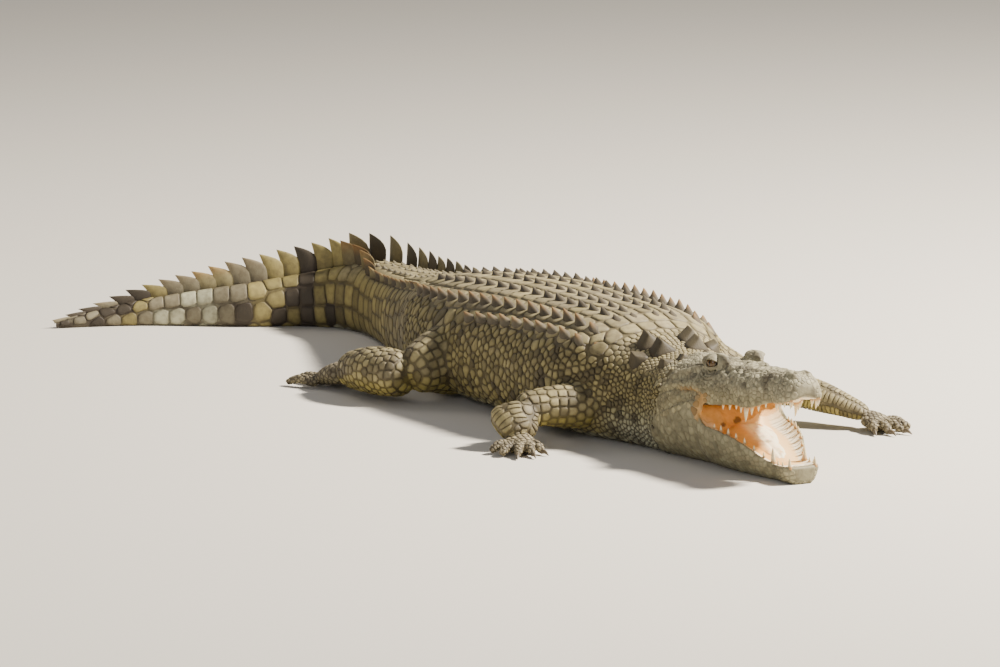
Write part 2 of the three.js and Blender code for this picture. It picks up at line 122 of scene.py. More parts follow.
for lamp_name, lamp_at, diameter, watts, lamp_colour in LAMPS:
    lamp = bpy.data.lights.new(lamp_name, "AREA")
    lamp.shape = "DISK"
    lamp.size = diameter
    lamp.energy = watts
    lamp.color = srgb(lamp_colour)[:3]
    aimed(lamp_name, lamp, lamp_at, LAMP_AIM)
world = bpy.data.worlds.new("studio")
bpy.context.scene.world = world
world.use_nodes = True
world.node_tree.nodes["Background"].inputs["Color"].default_value = srgb("E8EAEE")
world.node_tree.nodes["Background"].inputs["Strength"].default_value = SKY_STRENGTH


# ---------------------------------------------------------------- flesh
# The animal's body under its scales: one tube for neck, trunk and tail, two for the head and the lower
# jaw, and four jointed legs with their toes. All sizes of the animal are in millimetres.

MM = 0.001
COAT = 3.0  # how deep the scales stand on the skin of the body
THIN_COAT = 1.2  # on the head and the feet
FULL_TURN = 2 * math.pi
LOWEST = 0.5  # the flats that the animal lies on are this high


def smooth_table(rows):
    """A smooth curve through rows of [place, value, ...], which gives the values at any places."""
    rows = np.array(rows, float)
    places, values = rows[:, 0], rows[:, 1:]
    index = np.arange(len(rows))
    before, after = np.maximum(index - 1, 0), np.minimum(index + 1, len(rows) - 1)
    slopes = (values[after] - values[before]) / (places[after] - places[before])[:, None]

    def at(place):
        p = np.clip(np.asarray(place, float), places[0], places[-1])
        i = np.clip(np.searchsorted(places, p, side="right") - 1, 0, len(rows) - 2)
        span = (places[i + 1] - places[i])[..., None]
        t = (p - places[i])[..., None] / span
        start = (2 * t**3 - 3 * t**2 + 1) * values[i] + (t**3 - 2 * t**2 + t) * span * slopes[i]
        end = (3 * t**2 - 2 * t**3) * values[i + 1] + (t**3 - t**2) * span * slopes[i + 1]
        return np.moveaxis(start + end, -1, 0)

    return at


class Line:
    """A smooth line through a few points, measured along its length."""

    def __init__(self, points, steps=60):
        p = np.array(points, float)
        p = np.vstack([2 * p[0] - p[1], p, 2 * p[-1] - p[-2]])
        t = np.linspace(0, 1, steps, endpoint=False)[:, None]
        pieces = []
        for a, b, c, d in zip(p, p[1:], p[2:], p[3:]):
            # The square root of each step's length keeps the line from looping at close points.
            k0, k1, k2 = (np.linalg.norm(step) ** 0.5 for step in (b - a, c - b, d - c))
            m1 = k1 * ((b - a) / k0 - (c - a) / (k0 + k1) + (c - b) / k1)
            m2 = k1 * ((c - b) / k1 - (d - b) / (k1 + k2) + (d - c) / k2)
            pieces.append(
                b + m1 * t + (3 * (c - b) - 2 * m1 - m2) * t**2 + (2 * (b - c) + m1 + m2) * t**3
            )
        self.points = np.vstack([*pieces, p[-2]])
        steps_along = np.linalg.norm(np.diff(self.points, axis=0), axis=1)
        self.along = np.concatenate([[0], np.cumsum(steps_along)])
        self.length = self.along[-1]
        self.slopes = np.gradient(self.points, self.along, axis=0)

    def at(self, along):
        return np.stack([np.interp(along, self.along, c) for c in self.points.T], -1)

    def ahead(self, along):
        slope = np.stack([np.interp(along, self.along, c) for c in self.slopes.T], -1)
        return slope / np.linalg.norm(slope, axis=-1, keepdims=True)


# The middle line from the skull's back to the tail's tip, seen from above.
SPINE = Line(
    [
        (845, 36), (680, 36), (450, 36), (200, 36), (0, 28), (-250, 14), (-450, 6), (-700, 30),
        (-900, 58), (-1080, 78), (-1220, 76), (-1340, 30), (-1420, -70), (-1475, -210),
        (-1545, -340), (-1608, -470), (-1645, -600), (-1656, -730),
    ]
)
NECK_END, TRUNK_END, TAIL_BASE_END, PAIR_END, TAIL_CUT = 230, 1290, 1765, 2180, 2610
BELLY_SAG = 14  # how far the round underside would reach below the ground
TOP_POWER, UNDER_POWER = 2.5, 2.9

# [behind the skull, half width, top, height of the widest place]
body_at = smooth_table(
    [
        (0, 138, 250, 105), (90, 146, 250, 105), (200, 186, 276, 110), (345, 256, 310, 120),
        (545, 275, 316, 125), (845, 285, 318, 125), (1145, 255, 302, 120), (1295, 208, 284, 118),
        (1400, 176, 266, 114), (1535, 158, 243, 110), (1700, 132, 226, 100), (1850, 110, 212, 92),
        (2030, 90, 204, 84), (2180, 76, 180, 76), (2330, 64, 148, 64), (2500, 52, 122, 54),
        (2750, 33, 80, 36), (2950, 19, 40, 18), (SPINE.length, 6, 20, 9),
    ]
)


def power(value, n):
    return np.sign(value) * np.abs(value) ** (2 / n)


def body_point(u, left, height):
    """A point from its place along the middle line, its offset to the left and its height."""
    middle, ahead = SPINE.at(u), SPINE.ahead(u)
    x = middle[..., 0] + left * ahead[..., 1]
    y = middle[..., 1] - left * ahead[..., 0]
    return np.stack([x, y, height], -1)


def body_surface(u, turn, inset=COAT):
    """turn is 0 on the left side, a quarter on the back, a half on the right and three under the belly."""
    half, top, widest = body_at(u)
    up, across = np.sin(turn), np.cos(turn)
    over = up >= 0
    left = (half - inset) * power(across, np.where(over, TOP_POWER, UNDER_POWER))
    height = widest + np.where(
        over,
        (top - widest - inset) * power(up, TOP_POWER),
        (widest + BELLY_SAG - inset) * power(up, UNDER_POWER),
    )
    return body_point(u, left, np.maximum(height, LOWEST))


# The head lies along its own line, from the snout's tip backwards.
SNOUT_TIP = np.array((1350.0, 61.0))
HEAD_YAW = math.radians(3)
HEAD_BACK = np.array((-math.cos(HEAD_YAW), -math.sin(HEAD_YAW)))
HEAD_LEFT = np.array((-math.sin(HEAD_YAW), math.cos(HEAD_YAW)))
HEAD_END = 540
SKULL_TABLE = 262  # the height of the flat top behind the eyes
TABLE_START, TABLE_WHOLE = 330, 380  # where the head's round top turns into that flat one
PALATE_ARCH = 10
MOUTH_CORNER = 350
JAW_POWER, CHIN_POWER, PALATE_POWER = 2.6, 2.4, 2.3  # how square the jaws are in section


def head_point(behind, left, height):
    xy = SNOUT_TIP + np.multiply.outer(behind, HEAD_BACK) + np.multiply.outer(left, HEAD_LEFT)
    return np.concatenate([xy, np.asarray(height, float)[..., None]], -1)


def head_place(place):
    """One place of the head, from its [behind, left, height]."""
    return head_point(*(np.array(float(c)) for c in place))


# [behind the snout's tip, half width, top, lip, squareness]
upper_head_at = smooth_table(
    [
        (0, 26, 248, 216, 2.4), (8, 43, 264, 212, 2.5), (24, 56, 275, 207, 2.6),
        (48, 60, 279, 203, 2.6), (80, 55, 277, 197, 2.7), (105, 58, 274, 193, 2.8),
        (140, 73, 272, 180, 2.8), (175, 81, 270, 173, 2.8), (215, 83, 268, 174, 2.7),
        (260, 92, 266, 168, 2.5), (305, 104, 266, 163, 2.2), (350, 116, 266, 170, 1.8),
        (400, 128, 272, 150, 1.6), (450, 136, 272, 128, 1.6), (490, 138, 264, 110, 1.7),
        (550, 138, 254, 100, 1.9),
    ]
)
# [behind the snout's tip, half width, lip, depth of the trough between the lips]
lower_jaw_at = smooth_table(
    [
        (10, 28, 42, 0), (20, 46, 45, 0), (45, 55, 46, 4), (85, 55, 49, 10), (120, 72, 66, 18),
        (165, 93, 90, 26), (205, 106, 103, 28), (260, 118, 113, 28), (305, 126, 122, 26),
        (350, 130, 168, 20), (400, 140, 150, 0), (450, 146, 128, 0), (490, 146, 110, 0),
        (550, 144, 100, 0),
    ]
)


def upper_head_surface(behind, turn, inset=THIN_COAT):
    half, top, lip, square = upper_head_at(behind)
    across = power(np.cos(turn), square)
    dome = lip + (top - inset - lip) * power(np.maximum(np.sin(turn), 0), square)
    flat = SKULL_TABLE - inset + 0.25 * np.maximum(dome - SKULL_TABLE, 0)
    flatness = (np.clip(behind, TABLE_START, TABLE_WHOLE) - TABLE_START) / (TABLE_WHOLE - TABLE_START)
    roof = dome + (np.minimum(dome, flat) - dome) * flatness
    palate = lip + PALATE_ARCH * (1 - across**2)
    return head_point(behind, (half - inset) * across, np.where(np.sin(turn) >= 0, roof, palate))


def lower_jaw_surface(behind, turn, inset=THIN_COAT):
    half, lip, trough = lower_jaw_at(behind)
    across = power(np.cos(turn), JAW_POWER)
    floor_of_mouth = lip - trough * (1 - across**4)
    chin = np.where(behind < 12, 8, -7)
    under = lip - (lip - chin) * np.abs(power(np.sin(turn), CHIN_POWER))
    height = np.where(np.sin(turn) >= 0, floor_of_mouth, np.maximum(under, LOWEST))
    return head_point(behind, (half - inset) * across, height)


# Legs: each point is [x, y, z], and each thickness is [share of the length, across, up].
BENT_ARM = smooth_table([(0, 64, 60), (0.35, 62, 58), (0.7, 52, 50), (1, 46, 44)])
REACHING_ARM = smooth_table([(0, 92, 84), (0.3, 84, 80), (0.55, 60, 54), (1, 46, 44)])
FOREARM = smooth_table([(0, 64, 46), (0.3, 66, 46), (0.75, 54, 36), (1, 44, 26)])
REACHING_FOREARM = smooth_table([(0, 48, 44), (0.35, 50, 42), (0.75, 38, 30), (1, 30, 22)])
THIGH = smooth_table([(0, 96, 104), (0.4, 82, 96), (0.8, 66, 70), (1, 58, 58)])
SHANK = smooth_table([(0, 62, 60), (0.4, 68, 66), (0.8, 54, 54), (1, 44, 42)])
PALM = smooth_table([(0, 30, 22), (0.5, 46, 20), (1, 40, 16)])
SOLE = smooth_table([(0, 38, 34), (0.5, 48, 28), (1, 47, 16)])
DIGIT = smooth_table([(0, 17, 15), (0.5, 13, 13), (1, 9, 9)])
DIGIT_ROOT = 0.75  # of the palm's length: where its digits part
INSTEP = 0.72  # of the ankle's height: how high the middle of the palm is
HEEL = 8  # how far the palm starts behind the ankle
WRIST_DROP = 6  # how far it starts below it
KNUCKLE_HEIGHT = 14
DIGIT_LINE = ((0, 17), (0.55, 22), (1, 9))  # [share of a digit's length, height]
CLAW_LINE = ((-8, 9), (12, 10), (27, 2.5))  # [past the digit's end, height]

# heading is the foot's direction in degrees from +X to the left. A digit is [turn, length, has a claw].
LEGS = {
    "fore_right": dict(
        upper=[(570, -140, 90), (560, -252, 96), (550, -350, 92)],
        lower=[(550, -356, 90), (584, -368, 66), (618, -372, 34)],
        shapes=(BENT_ARM, FOREARM, PALM), heading=-34, palm=56,
        digits=[(46, 46, 1), (24, 66, 1), (4, 76, 1), (-18, 74, 0), (-42, 60, 0)],
    ),
    "fore_left": dict(
        upper=[(482, 150, 168), (548, 320, 118), (606, 474, 82)],
        lower=[(586, 428, 94), (606, 478, 80), (684, 530, 60), (750, 574, 38)],
        shapes=(REACHING_ARM, REACHING_FOREARM, PALM), heading=28, palm=56,
        digits=[(-46, 46, 1), (-24, 66, 1), (-4, 76, 1), (18, 74, 0), (42, 60, 0)],
    ),
    "hind_right": dict(
        upper=[(-165, -150, 112), (-125, -264, 104), (-98, -350, 86)],
        lower=[(-98, -350, 80), (-225, -396, 78), (-358, -416, 60)],
        shapes=(THIGH, SHANK, SOLE), heading=-176, palm=120,
        digits=[(-30, 84, 1), (-10, 116, 1), (10, 120, 1), (30, 100, 0)],
    ),
    "hind_left": dict(
        upper=[(-180, 170, 112), (-145, 290, 104), (-118, 372, 86)],
        lower=[(-120, 372, 80), (-225, 440, 78), (-342, 480, 60)],
        shapes=(THIGH, SHANK, SOLE), heading=158, palm=120,
        digits=[(30, 84, 1), (10, 116, 1), (-10, 120, 1), (-30, 100, 0)],
    ),
}
LIMB_BLUNT = 0.14  # share of a limb's length over which each end rounds off


class Limb:
    """A round-ended limb along a smooth line. shape gives its half sizes at a share of its length."""

    def __init__(self, points, shape, inset=COAT, blunt=LIMB_BLUNT):
        self.line, self.shape, self.inset, self.blunt = Line(points, 30), shape, inset, blunt

    def frame(self, share):
        middle = self.line.at(share * self.line.length)
        ahead = self.line.ahead(share * self.line.length)
        across = np.cross(ahead, (0, 0, 1))
        across /= np.linalg.norm(across, axis=-1, keepdims=True)
        return middle, across, np.cross(across, ahead)

    def surface(self, share, turn):
        middle, across, above = self.frame(share)
        end = np.minimum(np.minimum(share, 1 - share) / self.blunt, 1)
        blunted = np.sqrt(np.maximum(1 - (1 - end) ** 2, 0.0)) * 0.96 + 0.04
        wide, high = self.shape(share)
        place = (
            middle
            + across * ((wide - self.inset) * blunted * np.cos(turn))[..., None]
            + above * ((high - self.inset) * blunted * np.sin(turn))[..., None]
        )
        place[..., 2] = np.maximum(place[..., 2], LOWEST)
        return place


def foot_limbs(leg):
    """The palm and the digits of one foot, and each digit's place and direction for its claw."""
    x, y, z = leg["lower"][-1]

    def towards(angle, reach, height):
        a = math.radians(leg["heading"] + angle)
        return (x + reach * math.cos(a), y + reach * math.sin(a), height)

    palm, root = leg["palm"], leg["palm"] * DIGIT_ROOT
    pad = Limb(
        [
            towards(180, HEEL, z - WRIST_DROP), towards(0, palm * 0.5, (z - WRIST_DROP) * INSTEP),
            towards(0, palm, KNUCKLE_HEIGHT),
        ],
        leg["shapes"][2], THIN_COAT, 0.2,
    )
    digits = [
        Limb([towards(a, root + length * share, height) for share, height in DIGIT_LINE], DIGIT, THIN_COAT)
        for a, length, _ in leg["digits"]
    ]
    claws = [
        [towards(a, root + length + reach, height) for reach, height in CLAW_LINE]
        for a, length, clawed in leg["digits"]
        if clawed
    ]
    return pad, digits, claws


limbs = {}
claw_lines = []
for leg_name, leg in LEGS.items():
    pad, digits, claws = foot_limbs(leg)
    limbs[leg_name] = [
        Limb(leg["upper"], leg["shapes"][0]), Limb(leg["lower"], leg["shapes"][1]), pad, *digits,
    ]
    claw_lines += claws

BODY, HEAD, JAW, LEG = range(4)  # which part of the animal a place is on
samples = []  # rows of [x, y, z, part, along, turn, leg's stretch, inside the mouth]


def add_tube(bm, around, rings, surface, part, first, last, stretch=0, mouth=None):
    """A closed tube in bm: a grid that is wrapped round surface(along, turn) and filled at its ends."""
    made = bmesh.ops.create_grid(bm, x_segments=around, y_segments=rings, size=1.0)["verts"]
    flat = np.array([v.co[:2] for v in made])
    along = first + (flat[:, 1] + 1) / 2 * (last - first)
    turn = (flat[:, 0] + 1) / 2 * FULL_TURN
    places = surface(along, turn)
    for v, place in zip(made, places):
        v.co = place * MM
    bmesh.ops.remove_doubles(bm, verts=made, dist=1e-5)
    loops = {e for v in made if v.is_valid for e in v.link_edges if e.is_boundary}
    bmesh.ops.holes_fill(bm, edges=list(loops), sides=0)
    if part is None:
        return
    inside = mouth(along, turn) if mouth else np.zeros(len(along))
    part, stretch = (np.full(len(along), value) for value in (part, stretch))
    samples.append(np.column_stack([places, part, along, turn, stretch, inside]))


def ball(centre, radii, yaw):
    """A rounded mound of the head, from its front (-1) to its back (1)."""
    ahead = np.array((-math.cos(yaw), -math.sin(yaw), 0))
    left = np.array((-math.sin(yaw), math.cos(yaw), 0))
    middle = head_place(centre)

    def surface(along, turn):
        angle = along * math.pi / 2
        round_it = np.cos(angle)
        return (
            middle
            + np.multiply.outer(np.sin(angle) * radii[0], ahead)
            + np.multiply.outer(round_it * np.cos(turn) * radii[1], left)
            + np.multiply.outer(round_it * np.sin(turn) * radii[2], (0, 0, 1))
        )

    return surface


def palate_place(along, turn):
    inner = np.abs(power(np.cos(turn), PALATE_POWER)) < 0.86
    return (np.sin(turn) < -0.02) & inner & (along > 26) & (along < MOUTH_CORNER)


def mouth_floor_place(along, turn):
    inner = np.abs(power(np.cos(turn), JAW_POWER)) < 0.93
    return (np.sin(turn) > 0.02) & inner & (along > 24) & (along < MOUTH_CORNER + 8)


# [place behind the snout's tip, to the side and in height, half sizes, turned inwards, faces round and along]
MOUNDS = (
    ((347, 55, 261), (46, 23, 23), 0.25, 32, 20),  # the bony brow over each eye
    ((40, 18, 273), (22, 14, 10), 0.0, 24, 16),  # round each nostril
    ((352, 114, 156), (34, 10, 26), 0.0, 24, 20),  # the web of flesh that closes the mouth's corner
)
MOUND_END = 0.98

flesh_bm = bmesh.new()
add_tube(flesh_bm, 110, 640, body_surface, BODY, 0, SPINE.length - 2)
add_tube(flesh_bm, 96, 180, upper_head_surface, HEAD, 0, HEAD_END, mouth=palate_place)
add_tube(flesh_bm, 96, 180, lower_jaw_surface, JAW, 10, HEAD_END, mouth=mouth_floor_place)
for side in (1, -1):
    for (behind, off, height), radii, inwards, around, rings in MOUNDS:
        mound = ball((behind, side * off, height), radii, HEAD_YAW - side * inwards)
        add_tube(flesh_bm, around, rings, mound, None, -MOUND_END, MOUND_END)
for leg_index, parts in enumerate(limbs.values()):
    for stretch, limb in enumerate(parts):
        fine = (48, 60) if stretch < 3 else (24, 36)
        add_tube(flesh_bm, *fine, limb.surface, LEG, 0, 1, stretch=leg_index * 10 + stretch)
bmesh.ops.recalc_face_normals(flesh_bm, faces=flesh_bm.faces)
samples = np.vstack(samples)


# ---------------------------------------------------------------- skin
# One skin over all the flesh. The tubes are melted together, smoothed where a leg or the head grows out
# of the body, and then shaped at the head in small folds and hollows.

VOXEL = 0.004
SKIN_SHARE = 0.2  # how many of the melted skin's faces stay
BLEND_START, BLEND_REACH = 10, 46  # how far from a leg's or the head's root the skin is smoothed
BLEND_LEVELS = 5
LEGS_FROM, LEGS_TO, HEAD_FROM = -420, 760, 720  # the lengths of the animal where these two can be near
FINE_FROM = 830  # the head keeps its faces from here on
FAR_AWAY = 1e3


def baked(obj, *modifiers):
    """Replaces the mesh of obj by the one that these modifiers make of it."""
    for kind, settings in modifiers:
        modifier = obj.modifiers.new(kind, kind)
        for name, value in settings.items():
            setattr(modifier, name, value)
    evaluated = obj.evaluated_get(bpy.context.evaluated_depsgraph_get())
    mesh = bpy.data.meshes.new_from_object(evaluated)
    obj.modifiers.clear()
    obj.data = mesh


def mesh_object(name, bm, smooth=True):
    mesh = bpy.data.meshes.new(name)
    bm.to_mesh(mesh)
    bm.free()
    obj = bpy.data.objects.new(name, mesh)
    bpy.context.collection.objects.link(obj)
    mesh.polygons.foreach_set("use_smooth", np.full(len(mesh.polygons), smooth))
    return obj


def vertices(obj):
    """The corners of a mesh, in millimetres."""
    places = np.empty(len(obj.data.vertices) * 3)
    obj.data.vertices.foreach_get("co", places)
    return places.reshape(-1, 3) / MM


def set_vertices(obj, places):
    obj.data.vertices.foreach_set("co", (places * MM).ravel())
    obj.data.update()


def attribute(mesh, name, values):
    """Stores one number for each corner of a mesh, for its material."""
    mesh.attributes.new(name, "FLOAT", "POINT").data.foreach_set("value", np.asarray(values, "f"))


def tree_of(points):
    tree = KDTree(len(points))
    for i, point in enumerate(points):
        tree.insert(point, i)
    tree.balance()
    return tree


def nearest(tree, points):
    """For each point, the index of the nearest one in the tree and its distance."""
    found = [tree.find(p)[1:] for p in points]
    return np.array([f[0] for f in found]), np.array([f[1] for f in found])


def ramp(value, low, high):
    """0 at low, 1 at high, and smooth between them."""
    t = np.clip((np.asarray(value, float) - low) / (high - low), 0, 1)
    return t * t * (3 - 2 * t)


def speckle(places, size, seed=0):
    """Smooth noise between 0 and 1, with patches of about this size."""
    shifted = places / size + np.array((seed * 17.3, seed * 5.1, seed * 9.7))
    return np.array([noise.noise(p) for p in shifted]) * 0.6 + 0.5


skin = mesh_object("skin", flesh_bm)
baked(skin, ("REMESH", dict(mode="VOXEL", voxel_size=VOXEL, use_smooth_shade=True)))
places = vertices(skin)
is_leg, is_body = samples[:, 3] == LEG, samples[:, 3] == BODY
leg_tree, body_tree = tree_of(samples[is_leg, :3][::3]), tree_of(samples[is_body, :3][::2])
head_tree = tree_of(samples[~is_leg & ~is_body, :3][::2])
near_body = nearest(body_tree, places)[1]
near_other = np.full(len(places), FAR_AWAY)
beside_leg = (places[:, 0] < LEGS_TO) & (places[:, 0] > LEGS_FROM)
for tree, beside in ((leg_tree, beside_leg), (head_tree, places[:, 0] > HEAD_FROM)):
    near_other[beside] = np.minimum(near_other[beside], nearest(tree, places[beside])[1])
weight = 1 - ramp(np.maximum(near_other, near_body), BLEND_START, BLEND_REACH)
blend = skin.vertex_groups.new(name="blend")
for level in range(1, BLEND_LEVELS + 1):
    at_level = np.nonzero(np.round(weight * BLEND_LEVELS) == level)[0]
    blend.add(at_level.tolist(), level / BLEND_LEVELS, "REPLACE")
baked(
    skin,
    ("SMOOTH", dict(factor=0.5, iterations=3)),
    ("SMOOTH", dict(factor=0.6, iterations=36, vertex_group="blend")),
)

# The head keeps all its faces, and more of them round the eyes, for its folds.
EYE_PLACE = (345, 63, 262)  # behind the snout's tip, to the side, height
EYE_FOLDS_REACH = 80


def eye_centre(side):
    return head_place((EYE_PLACE[0], side * EYE_PLACE[1], EYE_PLACE[2]))


is_front = skin.vertex_groups.new(name="head")
places = vertices(skin)
is_front.add(np.nonzero(places[:, 0] > FINE_FROM)[0].tolist(), 1.0, "REPLACE")
outside_head = dict(vertex_group="head", invert_vertex_group=True, vertex_group_factor=4)
baked(skin, ("DECIMATE", dict(ratio=SKIN_SHARE, **outside_head)))
bm = bmesh.new()
bm.from_mesh(skin.data)
eye_at = [Vector(eye_centre(side)) * MM for side in (1, -1)]
fine = [e for e in bm.edges if min((e.verts[0].co - at).length for at in eye_at) < EYE_FOLDS_REACH * MM]
bmesh.ops.subdivide_edges(bm, edges=fine, cuts=1, use_grid_fill=True, smooth=0.4)
bmesh.ops.triangulate(bm, faces=[f for f in bm.faces if len(f.verts) > 4])
bm.to_mesh(skin.data)
bm.free()

# The head's folds, ridges and hollows, each as a height over the smooth skin.
EYE_RADIUS = 19
EYE_TURN = (-0.34, 0.92, 0.14)  # where an eye looks: back, out and up
UPPER_TEETH = [
    (12, 20), (26, 14), (42, 26), (60, 22), (110, 12), (130, 16), (150, 22), (170, 38), (192, 18),
    (214, 14), (238, 15), (262, 14),
]
LOWER_TEETH = [
    (20, 24), (40, 12), (60, 12), (84, 38), (110, 12), (136, 12), (162, 14), (188, 13), (214, 15),
    (240, 14), (264, 11),
]


def head_coordinates(place):
    """How far behind the snout's tip, to the left of the head's middle and above the floor."""
    xy = place[..., :2] - SNOUT_TIP
    return xy @ HEAD_BACK, xy @ HEAD_LEFT, place[..., 2]


def hump(value, middle, wide):
    return np.exp(-(((value - middle) / wide) ** 2))


def between(value, low, high, soft):
    return ramp(value, low - soft, low + soft) * (1 - ramp(value, high - soft, high + soft))


def linear(places, values):
    """Straight steps between these values."""
    return lambda place: np.interp(place, places, values)


slit_height = linear((366, 412, 450), (258, 245, 230))  # of the ear's slit
fold_height = linear((340, 370, 441, 525), (188, 194, 184, 158))  # of the fold behind the mouth
NOSTRIL = (34, 17)  # behind the snout's tip, to the side


def directions_of(mesh):
    facing = np.empty(len(mesh.vertices) * 3)
    mesh.vertices.foreach_get("normal", facing)
    return facing.reshape(-1, 3)


places, facings = vertices(skin), directions_of(skin.data)
of_head = places[:, 0] > 800
spot, facing_there = places[of_head], facings[of_head]
behind, left, height = head_coordinates(spot)
side_on = np.abs(facing_there @ np.append(HEAD_LEFT, 0))
up_on = facing_there[:, 2]
off = np.abs(left)
lip, jaw_lip = upper_head_at(behind)[2], lower_jaw_at(behind)[1]
above_mouth = height > (lip + jaw_lip) / 2
from_eye = np.stack([behind, off, height], -1) - EYE_PLACE
eye_near = np.sqrt(np.sum(from_eye**2, -1))
rough = (speckle(spot, 15, 3) - 0.5) * 8 + (speckle(spot, 7, 4) - 0.5) * 4
relief = rough * between(behind, 34, 320, 18) * ramp(up_on, -0.1, 0.5) * above_mouth
lumps = (speckle(spot, 22, 5) - 0.5) * 4 * above_mouth * between(behind, 330, 520, 20)
relief += lumps * ramp(up_on, 0.2, 0.7)
ridge_line = np.interp(behind, (230, 345), (34, 56))
relief += 6.5 * hump(off, ridge_line, 9) * between(behind, 250, 338, 16) * ramp(up_on, 0, 0.4)
relief -= 5 * hump(off, 0, 15) * between(behind, 290, 400, 30) * ramp(up_on, 0.5, 0.8)
table_edge = np.interp(behind, (385, 480), (66, 94))
relief += 7 * hump(off, table_edge, 8) * between(behind, 392, 486, 10) * ramp(up_on, 0, 0.4)
relief -= 5 * np.exp(-(((behind - 428) / 26) ** 2 + ((off - 36) / 15) ** 2)) * ramp(up_on, 0.4, 0.8)
slit_line = slit_height(behind)
slit = hump(height, slit_line, 3.0) * between(behind, 372, 446, 6) * (off > 54) * ramp(side_on, 0.1, 0.4)
relief -= 9 * slit
relief += 4 * hump(height, slit_line - 9, 5) * between(behind, 384, 470, 12) * (off > 58)
# Each nostril is a bent slit on its mound.
nostril_middle = NOSTRIL[1] - 0.02 * (behind - NOSTRIL[0]) ** 2
nostril = hump(behind, NOSTRIL[0], 8) * hump(off, nostril_middle, 4) * ramp(up_on, 0.2, 0.6)
relief -= 10 * nostril
# The lips bulge over the roots of the teeth.
upper_side, lower_side = (ramp(side_on, 0.1, 0.5) * part for part in (above_mouth, ~above_mouth))
for at, length in UPPER_TEETH:
    relief += 0.11 * length * hump(behind, at, 8) * hump(height, lip + 12, 13) * upper_side
for at, length in LOWER_TEETH:
    relief += 0.09 * length * hump(behind, at, 9) * hump(height, jaw_lip - 8, 11) * lower_side
# The fold where the loose skin of the jaw meets the head, from the mouth's corner back to the neck.
fold_line = fold_height(behind)
fold = hump(height, fold_line, 5) * between(behind, 344, 520, 12) * ramp(side_on, 0.2, 0.5)
relief -= 5 * fold
relief += 5 * hump(height, fold_line + 12, 9) * between(behind, 344, 530, 14) * ramp(side_on, 0.2, 0.5)
# Creases fan out from the mouth's corner over the jaw's muscle, and others run round the eye.
corner = np.hypot(behind - 352, height - 164)
fan = np.arctan2(height - 164, behind - 352)
creases = 1.8 * np.sin(fan * 17 + 2 * speckle(spot, 50, 6)) * hump(corner, 62, 44) * (behind > 344)
relief += creases * ramp(side_on, 0.2, 0.6)
relief += 8 * np.exp(-(((behind - 468) / 50) ** 2 + ((height - 168) / 44) ** 2)) * ramp(side_on, 0.2, 0.6)
creases = 1.5 * np.sin(eye_near * FULL_TURN / 8.5) * between(eye_near, 28, 54, 5) * (height < 260)
relief += creases * ramp(side_on, 0, 0.4)
creases = 1.7 * np.sin(behind * FULL_TURN / 17 + 3 * speckle(spot, 60, 8)) * (height < 110)
relief += creases * between(behind, 370, 560, 30)
# Round the eyeball the skin dips, to make room for the lids.
socket = (1 - ramp(eye_near, 21, 27)) * ramp(side_on, 0.1, 0.5)
relief -= 9 * socket
places[of_head] = spot + facing_there * relief[:, None]
places[:, 2] = np.maximum(places[:, 2], 0.6)
set_vertices(skin, places)
# Painted shade: the ear slits, the nostrils and the fold behind the mouth are darkened on the skin, as shade
# in these creases.
painted_crease_shade = np.zeros(len(places))
painted_crease_shade[of_head] = np.clip(slit * 1.2 + nostril * 1.2 + fold * 0.4, 0, 1)

# The lids: a thick-edged shell over each eyeball, with an opening in the shape of an almond.
LID_RADIUS = 22.0
LID_FOLDS = 3
LID_REACH = 0.034
CORNER_GAPE, UPPER_GAPE, LOWER_GAPE, LID_ROOT = np.radians((74, 20, 32, 112))  # from the way it looks
ALMOND = 1.7  # 1 gives the opening straight edges, 2 makes it an oval
lids_bm = bmesh.new()


def eye_frame(side):
    """An eye's centre, the way it looks, and the directions to the head's back and up across it."""
    centre = eye_centre(side)
    back, out, up = EYE_TURN
    axis = np.append(HEAD_BACK, 0) * back + np.append(HEAD_LEFT, 0) * side * out + np.array((0, 0, up))
    axis = axis / np.linalg.norm(axis)
    level = np.cross((0, 0, 1), axis)
    level /= np.linalg.norm(level)
    return centre, axis, level, np.cross(axis, level)


for side in (1, -1):
    centre, axis, level, high = eye_frame(side)

    def lid(rise, turn):
        """rise goes from the lid's inner edge (0) to its root under the skin (1)."""
        over = np.sin(turn) > 0
        gape = np.where(over, UPPER_GAPE, LOWER_GAPE)
        across, upward = np.abs(np.cos(turn)), np.abs(np.sin(turn))
        opening = 1 / ((across / CORNER_GAPE) ** ALMOND + (upward / gape) ** ALMOND) ** (1 / ALMOND)
        away = opening + (LID_ROOT - opening) * ramp(rise, 0.1, 1.0) * 0.999 + 0.001
        thick = ramp(rise, 0, 0.16)
        radius = EYE_RADIUS + 0.25 + (LID_RADIUS - EYE_RADIUS) * thick
        radius = radius + np.where(over, 3.0, 0.6) * hump(rise, 0.22, 0.14)
        radius = radius + 0.55 * np.sin(rise * LID_FOLDS * FULL_TURN) * ramp(rise, 0.2, 0.4)
        radius = radius + 3.0 * ramp(rise, 0.7, 1.0)
        aim = np.multiply.outer(np.cos(away), axis)
        aim += np.multiply.outer(np.sin(away) * np.cos(turn), level)
        aim += np.multiply.outer(np.sin(away) * np.sin(turn), high)
        return centre + aim * radius[..., None]

    made = bmesh.ops.create_grid(lids_bm, x_segments=96, y_segments=30, size=1.0)["verts"]
    flat = np.array([v.co[:2] for v in made])
    for v, place in zip(made, lid((flat[:, 1] + 1) / 2, (flat[:, 0] + 1) / 2 * FULL_TURN)):
        v.co = place * MM
    bmesh.ops.remove_doubles(lids_bm, verts=made, dist=1e-5)
    lids_bm.normal_update()
    inward = [f for f in lids_bm.faces if f.normal.dot(f.calc_center_median() - Vector(centre * MM)) < 0]
    ours = [f for f in inward if (f.calc_center_median() - Vector(centre * MM)).length < LID_REACH]
    bmesh.ops.reverse_faces(lids_bm, faces=ours)
lid_mesh = bpy.data.meshes.new("lids")
